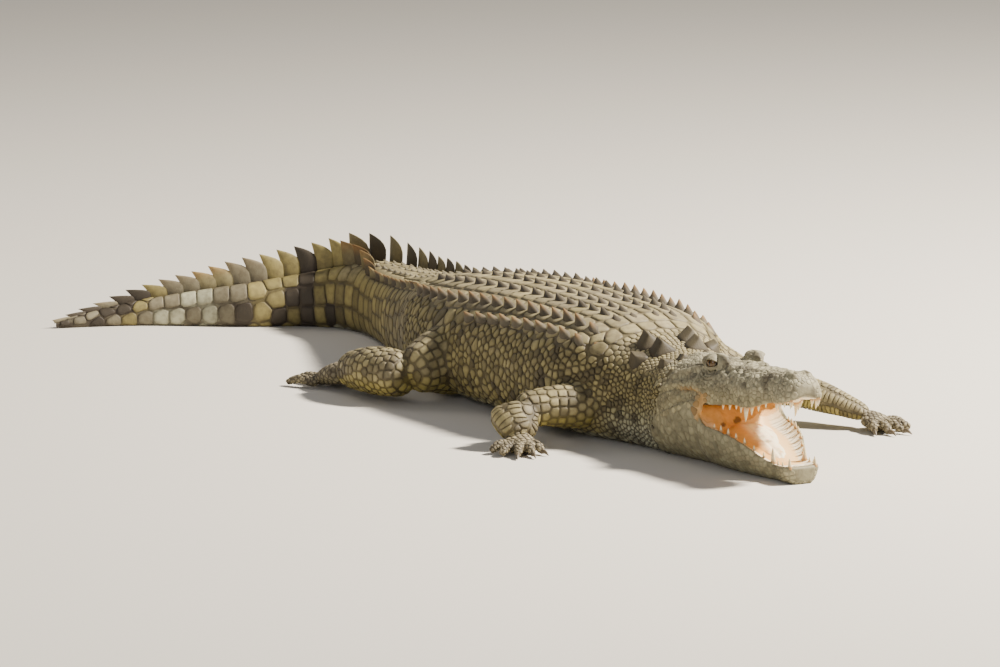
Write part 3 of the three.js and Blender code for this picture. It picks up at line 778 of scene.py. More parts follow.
lids_bm.to_mesh(lid_mesh)
bm = bmesh.new()
bm.from_mesh(skin.data)
bm.from_mesh(lid_mesh)
bm.to_mesh(skin.data)
bm.free()
lids_bm.free()
bpy.data.meshes.remove(lid_mesh)
skin.data.polygons.foreach_set("use_smooth", np.ones(len(skin.data.polygons), bool))
painted_crease_shade = np.concatenate([painted_crease_shade, np.zeros(len(skin.data.vertices) - len(painted_crease_shade))])


# ---------------------------------------------------------------- scales
# Horny scales cover the skin, each grown from it and set against its neighbours with a groove between.
# They are broad plates in rows on the back, whorls on the tail and small rounded ones elsewhere.

rng = np.random.default_rng(7)
# [start, end, rows or whorls of plates]: the trunk first, then the tail.
WHORLS = (
    (NECK_END, TRUNK_END, 18), (TRUNK_END, TAIL_BASE_END, 8), (TAIL_BASE_END, PAIR_END, 7),
    (PAIR_END, TAIL_CUT, 9), (TAIL_CUT, SPINE.length, 9),
)
# A seed's columns: its place, the direction it lies in, and then these.
PART, ALONG, TURN, STRETCH, SIZE, THICK, DOME, WIDE = range(6, 14)
seeds = []


def add_seeds(part, surface, along, turn, size, thick, dome, stretch=0, wide=1.0):
    """Scales at these places of a surface. Each lies in the direction in which along grows."""
    along, turn = np.broadcast_arrays(np.asarray(along, float), np.asarray(turn, float))
    step = 0.002 if part == LEG else 1.0
    place = surface(along, turn)
    lie = surface(along + step, turn) - surface(along - step, turn)
    lie /= np.maximum(np.linalg.norm(lie, axis=-1, keepdims=True), 1e-9)
    values = [np.broadcast_to(v, along.shape) for v in (part, along, turn, stretch, size, thick, dome, wide)]
    seeds.append(np.column_stack([place, lie, *values]))


def spaced(surface, along, start, end, pitch, shift=0.0):
    """Turns at equal steps round a surface between two turns."""
    turns = np.linspace(start, end, 160)
    ring = surface(np.full(160, float(along)), turns)
    reach = np.concatenate([[0], np.cumsum(np.linalg.norm(np.diff(ring, axis=0), axis=1))])
    count = max(int(round(reach[-1] / pitch)), 1)
    return np.interp((np.arange(count) + 0.5 + shift) / count * reach[-1], reach, turns)


BAND_PARTS = 6  # the pieces of each band round a forearm


def cover(
    part, surface, first, last, start, end, pitch, thick, dome, scale=1.0, jitter=0.16, wide=1.0, vary=0.0,
    large=0.0, stretch=0,
):
    """Staggered rows from first to last. pitch is a function of along, and scale turns along into mm.

    vary is how much the sizes differ, and large the share of scales that stand out by their size.
    """
    along, odd = first, 0
    while along < last:
        size = pitch(along)
        turns = spaced(surface, along, start, end, size * wide, 0.25 * (-1) ** odd)
        if wide > 2:
            turns = start + (np.arange(BAND_PARTS) + 0.5) / BAND_PARTS * (end - start)
        alongs = along + rng.uniform(-jitter, jitter, len(turns)) * size / scale
        turns = turns + rng.uniform(-jitter, jitter, len(turns)) * abs(end - start) / max(len(turns), 1)
        own_size = size * 0.5 * rng.uniform(1 - vary, 1 + vary, len(turns))
        own_size = own_size * np.where(rng.uniform(size=len(turns)) < large, 1.6, 1.0)
        add_seeds(part, surface, alongs, turns, own_size, thick, dome, stretch, max(wide, 1.0))
        along += size / scale * 0.92
        odd += 1


def across_turn(share, n):
    """The turn at which a section of this squareness is this share of its half width."""
    return math.acos(min(share, 1) ** (n / 2))


BACK_EDGE, BELLY_EDGE = across_turn(0.84, TOP_POWER), across_turn(0.8, UNDER_POWER)
# How far apart the scales lie, at each place along.
flank_pitch = linear((0, 150, 260, 420, 700, 1290), (11, 13, 18, 23, 24, 25))
neck_pitch = linear((0, 150, 230), (11, 13, 20))
belly_pitch = linear((0, 300), (18, 30))
head_pitch = linear((0, 120, 300, 400, 540), (10, 12, 12.5, 12, 13))
jaw_pitch = linear((0, 240, 400, 540), (11, 15, 25, 22))


def row_shares(u):
    """Where the back's four rows of keels stand to each side, as shares of its half width."""
    third = float(np.interp(u, (450, 1060), (0.6, 0.75)))
    return 0.13, float(np.interp(u, (450, 850, 1200), (0.33, 0.4, 0.47))), third, third + 0.17


# The back: rows of four broad keeled plates to each side.
for start, end, count in WHORLS[:1]:
    for whorl in range(count):
        u = start + (end - start) * (whorl + 0.5) / count
        half = float(body_at(u)[0])
        for rank, share in enumerate(row_shares(u)):
            size = half * (0.15, 0.14, 0.12, 0.1)[rank]
            for turn in (across_turn(share, TOP_POWER), math.pi - across_turn(share, TOP_POWER)):
                add_seeds(BODY, body_surface, [u], [turn], size, 3.2, 1.2)
# The nape before them has smaller plates, and the sides and belly are covered in rows.
cover(BODY, body_surface, 0, NECK_END, BACK_EDGE, math.pi - BACK_EDGE, neck_pitch, 1.4, 0.9)
for side in (0, 1):
    for start, end in ((BACK_EDGE - 0.1, 0), (0, -BELLY_EDGE)):
        turns = (start, end) if side == 0 else (math.pi - start, math.pi - end)
        cover(BODY, body_surface, 4, TRUNK_END, *turns, flank_pitch, 2.6, 2.2, jitter=0.24, vary=0.25,
              large=0.07)
cover(
    BODY, body_surface, 4, TRUNK_END, math.pi + BELLY_EDGE, 2 * math.pi - BELLY_EDGE,
    belly_pitch, 1.5, 0.5, jitter=0.04,
)

# The tail: each whorl is a ring of plates, with a row of crests on each side until they meet in one.
ROWS_DRAW_IN = 1930  # where the two rows start to draw together
ROWS_APART, ROWS_CLOSE = 0.7, 0.16  # shares of the half width


def crest_share(u):
    return ROWS_APART + (ROWS_CLOSE - ROWS_APART) * ramp(u, ROWS_DRAW_IN, PAIR_END)


for start, end, count in WHORLS[1:]:
    for whorl in range(count):
        u = start + (end - start) * (whorl + 0.5) / count
        crest = across_turn(float(crest_share(u)), TOP_POWER)
        half = float(body_at(u)[0])
        tier = float(np.interp(u, (1290, 1700, 2100, 2610, 3060), (36, 46, 68, 56, 20)))
        top = spaced(body_surface, u, crest - 0.12, math.pi - crest + 0.12, 42)
        if u < PAIR_END:
            add_seeds(BODY, body_surface, u, top, 22, 2.6, 0.8)
        else:
            crest = math.pi / 2
        side = spaced(body_surface, u, crest - 0.1, -across_turn(0.8, UNDER_POWER), tier)
        slant = u + 0.42 * (end - start) / count * np.sin(side) * ramp(u, PAIR_END, 2500)
        add_seeds(BODY, body_surface, slant, side, tier * 0.5, 2.2, 0.5)
        add_seeds(BODY, body_surface, slant, math.pi - side, tier * 0.5, 2.2, 0.5)
        under = spaced(body_surface, u, math.pi + across_turn(0.5, UNDER_POWER),
                       2 * math.pi - across_turn(0.5, UNDER_POWER), 34)
        add_seeds(BODY, body_surface, u, under, 18, 1.2, 0.4)

# Head and jaws: thin and close-set, without rows.
cover(HEAD, upper_head_surface, 6, HEAD_END, 0.02, math.pi - 0.02, head_pitch, 0.5, 0.5, jitter=0.34,
      vary=0.3)
cover(JAW, lower_jaw_surface, 14, HEAD_END, math.pi + 0.06, 2 * math.pi - 0.06,
      jaw_pitch, 0.45, 0.4, jitter=0.2, vary=0.25)

# Legs: square plates on the upper parts, bands across the forearm, small ones under and on the feet.
for leg_index, (leg_name, parts) in enumerate(limbs.items()):
    fore = leg_name.startswith("fore")
    # [pitch along, width as a share of it, thickness, dome] of the upper length, the lower one, the foot
    # and the toes.
    kinds = (
        (26, 1.0, 2.0, 0.5), (13, 4.0, 1.9, 0.8) if fore else (20, 1.2, 2.0, 0.9), (12, 1.4, 1.3, 0.8),
        (9, 1.6, 1.3, 0.8),
    )
    for stretch, limb in enumerate(parts):
        pitch, wide, thick, dome = kinds[min(stretch, 3)]
        cover(LEG, limb.surface, 0.03, 0.98, 0, FULL_TURN, lambda share: pitch, thick, dome,
              scale=limb.line.length, jitter=0.05, wide=wide, vary=0.1, stretch=leg_index * 10 + stretch)

seeds = np.vstack(seeds)

# Each seed is put on the skin. One that is buried in another part of the animal is left out.
BURIED = 9.0
skin_faces = [p.vertices[:] for p in skin.data.polygons]
skin_tree = BVHTree.FromPolygons([v.co for v in skin.data.vertices], skin_faces)


def on_skin(points):
    """The nearest places on the skin, in millimetres, and the skin's directions there."""
    found = [skin_tree.find_nearest(p) for p in points * MM]
    return np.array([f[0] for f in found]) / MM, np.array([f[1] for f in found])


def unit(vectors):
    return vectors / np.maximum(np.linalg.norm(vectors, axis=-1, keepdims=True), 1e-9)


def mouth_corner(behind, off, height):
    """The bare flesh at the mouth's corner and in the first part of the fold behind it."""
    web = 0.8 * between(behind, 318, 335, 5) * between(height, 122, 190, 6) * (off > 86)
    fold = 0.65 * hump(height, fold_height(behind), 4.0) * between(behind, 338, 420, 24) * (off > 70)
    return np.maximum(web, fold)


def keep_out(place):
    """Where there are no scales: on the lids, in the nostrils, in the ear slits and inside the mouth."""
    behind, left, height = head_coordinates(place)
    off = np.abs(left)
    lids = np.hypot(np.hypot(behind - EYE_PLACE[0], off - EYE_PLACE[1]), height - EYE_PLACE[2]) < 28
    slits = between(behind, 374, 444, 4) * (off > 54) * (np.abs(height - slit_height(behind)) < 6)
    nostrils = np.hypot(behind - NOSTRIL[0], off - NOSTRIL[1]) < 9
    return lids | (slits > 0.5) | (nostrils & (height > 250)) | (mouth_corner(behind, off, height) > 0.55)


placed, facing = on_skin(seeds[:, :3])
kept = (np.linalg.norm(placed - seeds[:, :3], axis=1) < BURIED) & ~keep_out(placed)
kept &= ~((facing[:, 2] < -0.5) & (seeds[:, PART] == HEAD))
seeds, placed, facing = seeds[kept], placed[kept], facing[kept]

# Where two parts melt together there are gaps, which are filled with scales of their neighbours' size.
skin_places = vertices(skin)
skin_facing = directions_of(skin.data)
raw_tree = tree_of(samples[:, :3])
origin = nearest(raw_tree, skin_places)[0]
mouth = samples[origin, 7] > 0.5
seed_tree = tree_of(placed)
GAP_TESTS = 40000  # how many places are looked at for gaps
order = rng.permutation(len(skin_places))[:GAP_TESTS]
beside, gap = nearest(seed_tree, skin_places[order])
bare = (gap > seeds[beside, SIZE] * seeds[beside, WIDE] * 1.5) & ~mouth[order] & ~keep_out(skin_places[order])
bare &= ~(np.isin(samples[origin[order], 3], (HEAD, JAW)) & (samples[origin[order], 4] < 330))
fillers, taken = [], []
for i, twin in zip(order[bare], beside[bare]):
    if all((skin_places[i] - p) @ (skin_places[i] - p) > (seeds[twin, SIZE] * 1.7) ** 2 for p in taken):
        taken.append(skin_places[i])
        fillers.append((i, twin))
filler_at, filler_twin = np.array(fillers).T
seeds = np.vstack([seeds, seeds[filler_twin]])
placed = np.vstack([placed, skin_places[filler_at]])
facing = np.vstack([facing, skin_facing[filler_at]])

# Seeds that crowd each other are thinned, the larger one staying.
seed_tree = tree_of(placed)
alive = np.ones(len(seeds), bool)
for i in np.argsort(-seeds[:, SIZE], kind="stable"):
    if alive[i]:
        for _, j, _ in seed_tree.find_range(placed[i], seeds[i, SIZE] * 0.95):
            if j != i and seeds[j, SIZE] <= seeds[i, SIZE] and facing[i] @ facing[j] > 0:
                alive[j] = False
seeds, placed, facing = seeds[alive], placed[alive], facing[alive]

# The outline of each scale lies half-way to its neighbours, with rounded corners.
NEIGHBOURS = 14
DIRECTIONS = 18
ROUNDING, PLATE_ROUNDING = 13.0, 30.0  # the higher, the sharper a scale's corners
GROOVE = 0.075  # of a scale's size: half of the gap between two
RINGS = ((0.5, 0.8), (0.8, 0.4), (0.94, 0.0), (1.0, -1.0))  # share of the outline, and height
lie = unit(seeds[:, 3:6] - facing * np.sum(seeds[:, 3:6] * facing, 1, keepdims=True))
side = np.cross(facing, lie)
angles = np.arange(DIRECTIONS) / DIRECTIONS * FULL_TURN
seed_tree = tree_of(placed)
near = [[j for _, j, _ in seed_tree.find_n(p, NEIGHBOURS + 1)] for p in placed]
near = np.array(near)[:, 1:]
apart = placed[near] - placed[:, None]
flat = np.stack([np.sum(apart * lie[:, None], -1), np.sum(apart * side[:, None], -1)], -1)
flat_length = np.linalg.norm(flat, axis=-1)
true_length = np.linalg.norm(apart, axis=-1)
flat_length = np.maximum(flat_length, 1e-3)
own = seeds[:, SIZE]
split = np.clip(own[:, None] / (own[:, None] + own[near]), 0.36, 0.64)
facing_same = np.sum(facing[near] * facing[:, None], -1) > -0.2
towards = np.arctan2(flat[..., 1], flat[..., 0])
cosine = np.cos(angles[None, None, :] - towards[..., None])
limit = (true_length * split)[..., None] / np.maximum(cosine, 1e-3)
inverse = np.where((cosine > 0.05) & facing_same[..., None], 1 / np.maximum(limit, 1e-3), 0)
outermost = 1 / (own * 1.5 * seeds[:, WIDE])[:, None]
of_tail = (seeds[:, PART] == BODY) & (seeds[:, ALONG] > TRUNK_END)
is_plate = of_tail | ((seeds[:, PART] == LEG) & (seeds[:, STRETCH] % 10 < 2))
rounding = np.where(is_plate, PLATE_ROUNDING, ROUNDING)[:, None]
reach = (np.sum(inverse ** rounding[..., None], 1) + outermost**rounding) ** (-1 / rounding)
close_set = np.isin(seeds[:, PART], (HEAD, JAW)) | of_tail
groove = np.minimum(own * GROOVE * 2, 1.3) * np.where(close_set, 0.5, 1.0)
reach = np.maximum(reach - groove[:, None], 1.5)

directions = lie[:, None] * np.cos(angles)[:, None] + side[:, None] * np.sin(angles)[:, None]
edge, edge_facing = on_skin((placed[:, None] + directions * reach[..., None]).reshape(-1, 3))
edge = edge.reshape(len(seeds), DIRECTIONS, 3) - placed[:, None]
edge_facing = edge_facing.reshape(edge.shape)
turned_away = np.sum(edge_facing * facing[:, None], -1, keepdims=True) < 0.1
edge_facing = np.where(turned_away, facing[:, None], edge_facing)
rise = np.sum(edge * facing[:, None], -1, keepdims=True)
sideways = edge - rise * facing[:, None]
tone = rng.uniform(0, 1, len(seeds))


# The tail's plates behind the double crest, one letter a whorl, for the low tier, the one above it and
# the crest: yellow, dark, grey, cream or rusty. The grey and cream are their own pale colours, brightened
# as well as a painted sheen of sunlight on the glossy plates at the tail's bend.
TAIL_LOW, TAIL_HIGH, TAIL_CREST = "dydydydgcgccgygdgd", "yyddyyggccggyddgdg", "yydyyggrrggyddgddg"
# [how yellow, how dark, how pale, how rusty]
TAIL_TONES = {
    "y": (0.8, 0.32, 0.0, 0.0), "d": (0.2, 0.97, 0.0, 0.0), "g": (0.15, 0.48, 0.2, 0.1),
    "c": (0.4, 0.0, 1.0, 0.0), "r": (0.5, 0.15, 0.1, 0.5),
}


def markings(part, along, turn, stretch, place):
    """How yellow, how dark and how pale the hide is at each place, each from 0 to 1."""
    up = np.sin(turn)
    patch, fine = speckle(place, 90, 1), speckle(place, 34, 2)
    height = place[:, 2]
    body, head, jaw, leg = (part == k for k in (BODY, HEAD, JAW, LEG))
    trunk, tail = body & (along < TRUNK_END), body & (along >= TRUNK_END)
    yellow, dark, pale = np.zeros((3, len(part)))
    low = 1 - ramp(height, 20, 190)
    yellow[trunk] = (0.3 + 0.4 * low * patch + 0.3 * ramp(0.8 - up, 0, 0.3) + 0.35 * (fine - 0.5))[trunk]
    dark[trunk] = ((0.2 + 0.6 * ramp(fine, 0.5, 0.8)) * ramp(0.85 - up, 0, 0.3))[trunk]
    pale[trunk] = ramp(-up, 0.45, 0.8)[trunk]
    throat = trunk & (along < 260)
    pale[throat] = np.maximum(pale, (1 - ramp(height, 40, 150)) * (1 - ramp(along, 120, 260)))[throat]
    side_on = ramp(0.92 - up, 0, 0.4)
    yellow[tail] = (0.35 + 0.4 * side_on * ramp(along, 1300, 1700))[tail]
    dark[tail] = (0.35 * ramp(fine, 0.55, 0.8) + 0.3 * side_on)[tail]
    pale[tail] = ramp(-up, 0.7, 0.9)[tail]
    for i in np.nonzero(body & (along >= PAIR_END))[0]:
        before = 0 if along[i] < TAIL_CUT else 9
        start, end, _ = WHORLS[4 if before else 3]
        whorl = int((along[i] - start) / (end - start) * 8.999) + before
        tier = TAIL_LOW if up[i] < 0.12 else TAIL_HIGH if up[i] < 0.8 else TAIL_CREST
        yellow[i], dark[i], pale[i], _ = TAIL_TONES[tier[whorl]]
    # The head's top is grey-brown with dark patches, its sides are paler towards the lips.
    cheek = 1 - ramp(height, 190, 245)
    yellow[head] = (0.1 + 0.25 * cheek)[head]
    dark[head] = ((0.05 + 0.6 * ramp(fine, 0.5, 0.8)) * (1 - 0.5 * cheek))[head]
    pale[head] = (0.4 - 0.2 * cheek)[head]
    yellow[jaw], dark[jaw], pale[jaw] = 0.4, (0.25 + 0.2 * ramp(fine, 0.6, 0.85))[jaw], 0.45
    yellow[leg] = np.clip(0.4 + 0.7 * ramp(-up, -0.1, 0.7) + 0.4 * (patch - 0.5), 0, 1)[leg]
    dark[leg] = (0.04 + 0.55 * ramp(fine, 0.5, 0.75))[leg]
    foot = leg & (stretch % 10 > 1)
    yellow[foot] *= 0.3
    return np.clip(yellow, 0, 1), np.clip(dark, 0, 1), np.clip(pale, 0, 1)


yellow, dark, pale = markings(
    seeds[:, PART].astype(int), seeds[:, ALONG], seeds[:, TURN], seeds[:, STRETCH].astype(int), placed
)

# The scales beside the mouth's bare corner are reddish.
CORNER_REACH = 9
p_behind, p_left, p_height = head_coordinates(placed)
corner_shares = [
    mouth_corner(p_behind + shift, np.abs(p_left), p_height) for shift in (-CORNER_REACH, 0, CORNER_REACH)
]
ruddy = 0.9 * np.max(corner_shares, axis=0) * np.isin(seeds[:, PART], (HEAD, JAW))

# The unwrap: each part of the animal has its own strip, and a scale is a small patch at its place on it.
PATCH = 0.003
STRIPS = {BODY: (0.02, 0.34, SPINE.length), HEAD: (0.38, 0.14, HEAD_END), JAW: (0.54, 0.14, HEAD_END)}


def unwrapped(part, along, turn, stretch):
    u = np.empty(len(part))
    v = np.empty(len(part))
    round_share = np.mod(turn, FULL_TURN) / FULL_TURN
    for k, (low, tall, length) in STRIPS.items():
        chosen = part == k
        u[chosen] = 0.01 + 0.97 * np.clip(along[chosen] / length, 0, 1)
        v[chosen] = low + tall * round_share[chosen]
    leg = part == LEG
    leg_index, piece = np.divmod(stretch, 10)
    u[leg] = 0.01 + (leg_index * 0.245 + np.clip(along, 0, 1) * 0.23)[leg]
    v[leg] = 0.70 + (piece * 0.035 + round_share * 0.032)[leg]
    return u, v


def mesh_from_rings(name, corners, around):
    """One mesh of many closed caps. Each is a middle corner and then rings of this many corners."""
    count, per = corners.shape[:2]
    k = np.arange(around)
    after = (k + 1) % around
    fans = np.stack([np.zeros_like(k), 1 + k, 1 + after], -1)
    bands = [
        np.stack([a + k, a + around + k, a + around + after, a + after], -1)
        for a in range(1, per - around, around)
    ]
    first = (np.arange(count) * per)[:, None, None]
    loops = [(faces[None] + first).reshape(count, -1) for faces in (fans, np.concatenate(bands))]
    loops = np.concatenate(loops, 1).ravel()
    sizes = np.tile([3] * around + [4] * (around * len(bands)), count)
    mesh = bpy.data.meshes.new(name)
    mesh.vertices.add(count * per)
    mesh.vertices.foreach_set("co", (corners * MM).ravel())
    mesh.loops.add(len(loops))
    mesh.loops.foreach_set("vertex_index", loops)
    mesh.polygons.add(len(sizes))
    mesh.polygons.foreach_set("loop_start", np.concatenate([[0], np.cumsum(sizes)[:-1]]))
    mesh.update(calc_edges=True)
    mesh.polygons.foreach_set("use_smooth", np.ones(len(sizes), bool))
    obj = bpy.data.objects.new(name, mesh)
    bpy.context.collection.objects.link(obj)
    return obj


def bake_patches(obj, u, v, per, around, rings):
    """The map named OFBake: each cap is a small round patch about its place on the unwrap."""
    reach = PATCH / 2 * np.concatenate([[0], np.repeat(np.arange(1, rings + 1) / rings, around)])
    spin = np.concatenate([[0], np.tile(np.arange(around) / around * FULL_TURN, rings)])
    corner_uv = np.stack([u[:, None] + reach * np.cos(spin), v[:, None] + reach * np.sin(spin)], -1)
    corner_uv = corner_uv.reshape(-1, 2)
    loops = np.empty(len(obj.data.loops), int)
    obj.data.loops.foreach_get("vertex_index", loops)
    obj.data.uv_layers.new(name="OFBake").data.foreach_set("uv", corner_uv[loops].ravel())


# How dark a scale's rim is on each part: the body, the head, the jaw and the legs.
RIM_DEPTHS = np.array((1.0, 0.34, 0.3, 0.95))
rim_depth = RIM_DEPTHS[seeds[:, PART].astype(int)]
rim_depth[(np.sin(seeds[:, TURN]) > 0.6) & (seeds[:, PART] == BODY)] = 0.55


def coat_piece(name, chosen):
    """One mesh of all the chosen scales."""
    index = np.nonzero(chosen)[0]
    count = len(index)
    thick, dome = (seeds[index, k][:, None] for k in (THICK, DOME))
    ring_places = [placed[index][:, None] + facing[index][:, None] * (thick + dome)[..., None]]
    rim = [np.zeros((count, 1))]
    for share, height in RINGS:
        normal = unit(facing[index][:, None] * (1 - share) + edge_facing[index] * share)
        grown = thick * (1 if height >= 0 else 0) + dome * (1 - share**2) + (height if height < 0 else 0)
        if height == 0:
            grown = thick * 0.72
        ring_places.append(
            placed[index][:, None]
            + sideways[index] * share
            + facing[index][:, None] * rise[index] * share**2
            + normal * grown[..., None]
        )
        rim.append(np.repeat(rim_depth[index][:, None] * share**5, DIRECTIONS, 1))
    corners = np.concatenate(ring_places, 1)
    corners[..., 2] = np.maximum(corners[..., 2], 0.3)
    obj = mesh_from_rings(name, corners, DIRECTIONS)
    per = corners.shape[1]
    tones = {"tone": tone, "yellow": yellow, "dark": dark, "pale": pale, "rust": ruddy}
    for label, values in tones.items():
        attribute(obj.data, label, np.repeat(values[index], per))
    attribute(obj.data, "rim", np.concatenate(rim, 1).ravel())
    u, v = unwrapped(*(seeds[index, c] for c in (PART, ALONG, TURN, STRETCH)))
    bake_patches(obj, u, v, per, DIRECTIONS, len(RINGS))
    obj.data.materials.append(hide)
    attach(obj, "root")
    return obj


def hide_material(name, with_mouth=False):
    """Horn in the animal's colours: each scale has its own tone, mottled and darker towards its rim."""
    material, tree, shader = new_material(name, {"Roughness": 0.62, "Specular IOR Level": 0.35})
    where = node(tree, "TexCoord", out="Object")
    grain = node(tree, "TexNoise", {"Vector": where, "Scale": 260.0, "Detail": 5.0}, "Fac")
    mottle = node(tree, "TexNoise", {"Vector": where, "Scale": 60.0, "Detail": 4.0}, "Fac")
    blotch = node(tree, "MapRange", {0: mottle, 1: 0.42, 2: 0.68, 3: 0.0, 4: 0.42})
    share = {
        label: node(tree, "Attribute", out="Fac", attribute_name=label)
        for label in ("yellow", "pale", "dark", "rust", "tone", "rim", "mouth", "painted_sun", "gum", "spots")
    }
    colour = srgb("8E8570")
    for factor, tint in (
        (share["yellow"], "A89A55"), (share["pale"], "B9B799"), (blotch, "5A4B36"), (share["dark"], "3A332A"),
        (share["rust"], "9A7038"),
    ):
        colour = node(tree, "Mix", {0: factor, 6: colour, 7: srgb(tint)}, 2, data_type="RGBA")
    lighter = node(tree, "Math", {0: share["tone"], 1: 0.5, 2: 0.75}, operation="MULTIPLY_ADD")
    toned = {0: 1.0, 6: colour, 7: lighter}
    colour = node(tree, "Mix", toned, 2, data_type="RGBA", blend_type="MULTIPLY")
    rim = node(tree, "Math", {0: share["rim"], 1: 0.85}, operation="MULTIPLY", use_clamp=True)
    colour = node(tree, "Mix", {0: rim, 6: colour, 7: srgb("2E251B")}, 2, data_type="RGBA")
    if with_mouth:
        bands = {"Vector": where, "Scale": 22.0, "Distortion": 7.0, "Detail": 3.0}
        bands = node(tree, "TexWave", bands, "Fac")
        streak = node(tree, "MapRange", {0: bands, 1: 0.72, 2: 0.95, 3: 0.0, 4: 0.6})
        flesh = node(tree, "Mix", {0: blotch, 6: srgb("DDA75C"), 7: srgb("BC8038")}, 2, data_type="RGBA")
        # Painted sunlight: where this share is set, the mouth's flesh is painted a pale sunlit cream.
        lit = {0: share["painted_sun"], 6: flesh, 7: srgb("EFC98E")}
        flesh = node(tree, "Mix", lit, 2, data_type="RGBA")
        gum = node(tree, "Mix", {0: streak, 6: srgb("EEE6CC"), 7: srgb("7A715C")}, 2, data_type="RGBA")
        for label, tone_there in (("mouth", flesh), ("gum", gum), ("spots", srgb("4A3420"))):
            over = {0: share[label], 6: colour, 7: tone_there}
            colour = node(tree, "Mix", over, 2, data_type="RGBA")
    tree.links.new(colour, shader.inputs["Base Color"])
    bump = node(tree, "Bump", {"Height": grain, "Distance": 0.0012, "Strength": 0.55})
    tree.links.new(bump, shader.inputs["Normal"])
    return material


hide = hide_material("horn scales")
skin_hide = hide_material("skin between the scales", with_mouth=True)
part_of, along_of = seeds[:, PART], seeds[:, ALONG]
on_back = (np.sin(seeds[:, TURN]) > 0.6) & (part_of == BODY)
on_flank = ~on_back & (part_of == BODY) & (along_of < TRUNK_END)
coat = {
    "coat_back": (on_back & (along_of < TRUNK_END), "hide_back"),
    "coat_flank_near": (on_flank & (np.cos(seeds[:, TURN]) < 0), "hide_flank"),
    "coat_flank_far": (on_flank & (np.cos(seeds[:, TURN]) >= 0), "hide_flank"),
    "coat_tail": ((part_of == BODY) & (along_of >= TRUNK_END), "hide_tail"),
    "coat_head": (part_of == HEAD, "hide_head"),
    "coat_jaw": (part_of == JAW, "hide_jaw"),
    "coat_legs_near": ((part_of == LEG) & (placed[:, 1] < 0), "hide_leg"),
    "coat_legs_far": ((part_of == LEG) & (placed[:, 1] >= 0), "hide_leg"),
}
for piece_name, (chosen, slot_name) in coat.items():
    coat_piece(piece_name, chosen)

# The skin shows in the grooves and in the mouth.
skin_origin = samples[origin]
skin_yellow, skin_dark, skin_pale = markings(
    skin_origin[:, 3].astype(int), skin_origin[:, 4], skin_origin[:, 5], skin_origin[:, 6].astype(int),
    skin_places,
)
attribute(skin.data, "yellow", skin_yellow)
attribute(skin.data, "dark", skin_dark)
attribute(skin.data, "pale", skin_pale)
m_behind, m_left, m_height = head_coordinates(skin_places)
attribute(skin.data, "mouth", np.maximum(mouth, 0.75 * mouth_corner(m_behind, np.abs(m_left), m_height)))
# Pale gums run along the jaws inside the teeth, and the lining has a few dark spots at the back.
of_jaw = skin_origin[:, 3] == JAW
inner_half = np.where(of_jaw, lower_jaw_at(m_behind)[0], upper_head_at(m_behind)[0])
gum = ramp(np.abs(m_left) / np.maximum(inner_half, 1), 0.58, 0.7) * (1 - ramp(m_behind, 290, 330)) * mouth
gum = np.maximum(gum, (1 - ramp(m_behind, 50, 80)) * mouth)
spots = np.zeros(len(skin_places))
for spot_at in ((312, -55, 106, 5), (322, -5, 115, 7), (318, -14, 112, 5)):
    gap = np.sqrt((m_behind - spot_at[0]) ** 2 + (m_left - spot_at[1]) ** 2 + (m_height - spot_at[2]) ** 2)
    spots = np.maximum(spots, 1 - ramp(gap, spot_at[3], spot_at[3] + 4))
attribute(skin.data, "gum", gum)
attribute(skin.data, "spots", spots * mouth * 0.8)
# Painted sunlight over the far half of the mouth's lining, ahead of its back.
attribute(skin.data, "painted_sun", ramp(m_left, -30, 30) * (m_behind < 320))
attribute(skin.data, "tone", np.full(len(skin_places), 0.4))
skin_rim = 0.7 * RIM_DEPTHS[skin_origin[:, 3].astype(int)]
# The skin's rim tone also carries the painted shade of the ear slits, nostrils and fold.
attribute(skin.data, "rim", np.clip(skin_rim * ~mouth + painted_crease_shade, 0, 1))
skin.data.materials.append(skin_hide)
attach(skin, "root")
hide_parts(*[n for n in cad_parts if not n.startswith(("eye", "tongue")) and "claw" not in n])


# ---------------------------------------------------------------- keels and crest
# Blades of horn that stand on the plates: low keels in rows along the back, and tall leaning ones on
# the tail, in two rows that meet in one. Large plates stand on the nape.

FIN_LEVELS = (-0.25, 0.0, 0.22, 0.42, 0.6, 0.74, 0.86, 0.95)  # shares of a fin's height
FIN_DIRECTIONS = 16
# For each of the back's rows: [height, outward tilt in degrees, thickness, how rusty, how dark]. How dark is
# partly the keels' own dark brown and partly painted shade of their near faces.
KEEL_ROWS = ((17, 4, 24, 0.0, 0.85), (20, 9, 26, 0.0, 0.85), (28, 16, 30, 0.4, 0.8), (22, 26, 30, 0.5, 0.6))
left_row_at = smooth_table([(TRUNK_END, 24), (1600, 46), (1750, 60), (1900, 74), (PAIR_END, 90)])
right_row_at = smooth_table([(TRUNK_END, 24), (1900, 27), (2040, 54), (PAIR_END, 86)])
crest_at = smooth_table([(PAIR_END, 88), (2350, 76), (2550, 60), (2750, 38), (2900, 16), (SPINE.length, 4)])
# [behind the skull, to the left, height]
NAPE_PLATES = (
    (122, 44, 32), (122, -54, 34), (172, 50, 32), (172, -66, 34), (148, 106, 24), (140, -116, 24),
    (30, 24, 13), (26, -44, 13), (44, 70, 14), (50, -84, 16),
)
KEEL, LEAF, ROOF = range(3)
fins = []


def body_height(u, share):
    half, top, widest = body_at(u)
    return widest + (top - widest) * (1 - np.abs(share) ** TOP_POWER) ** (1 / TOP_POWER)


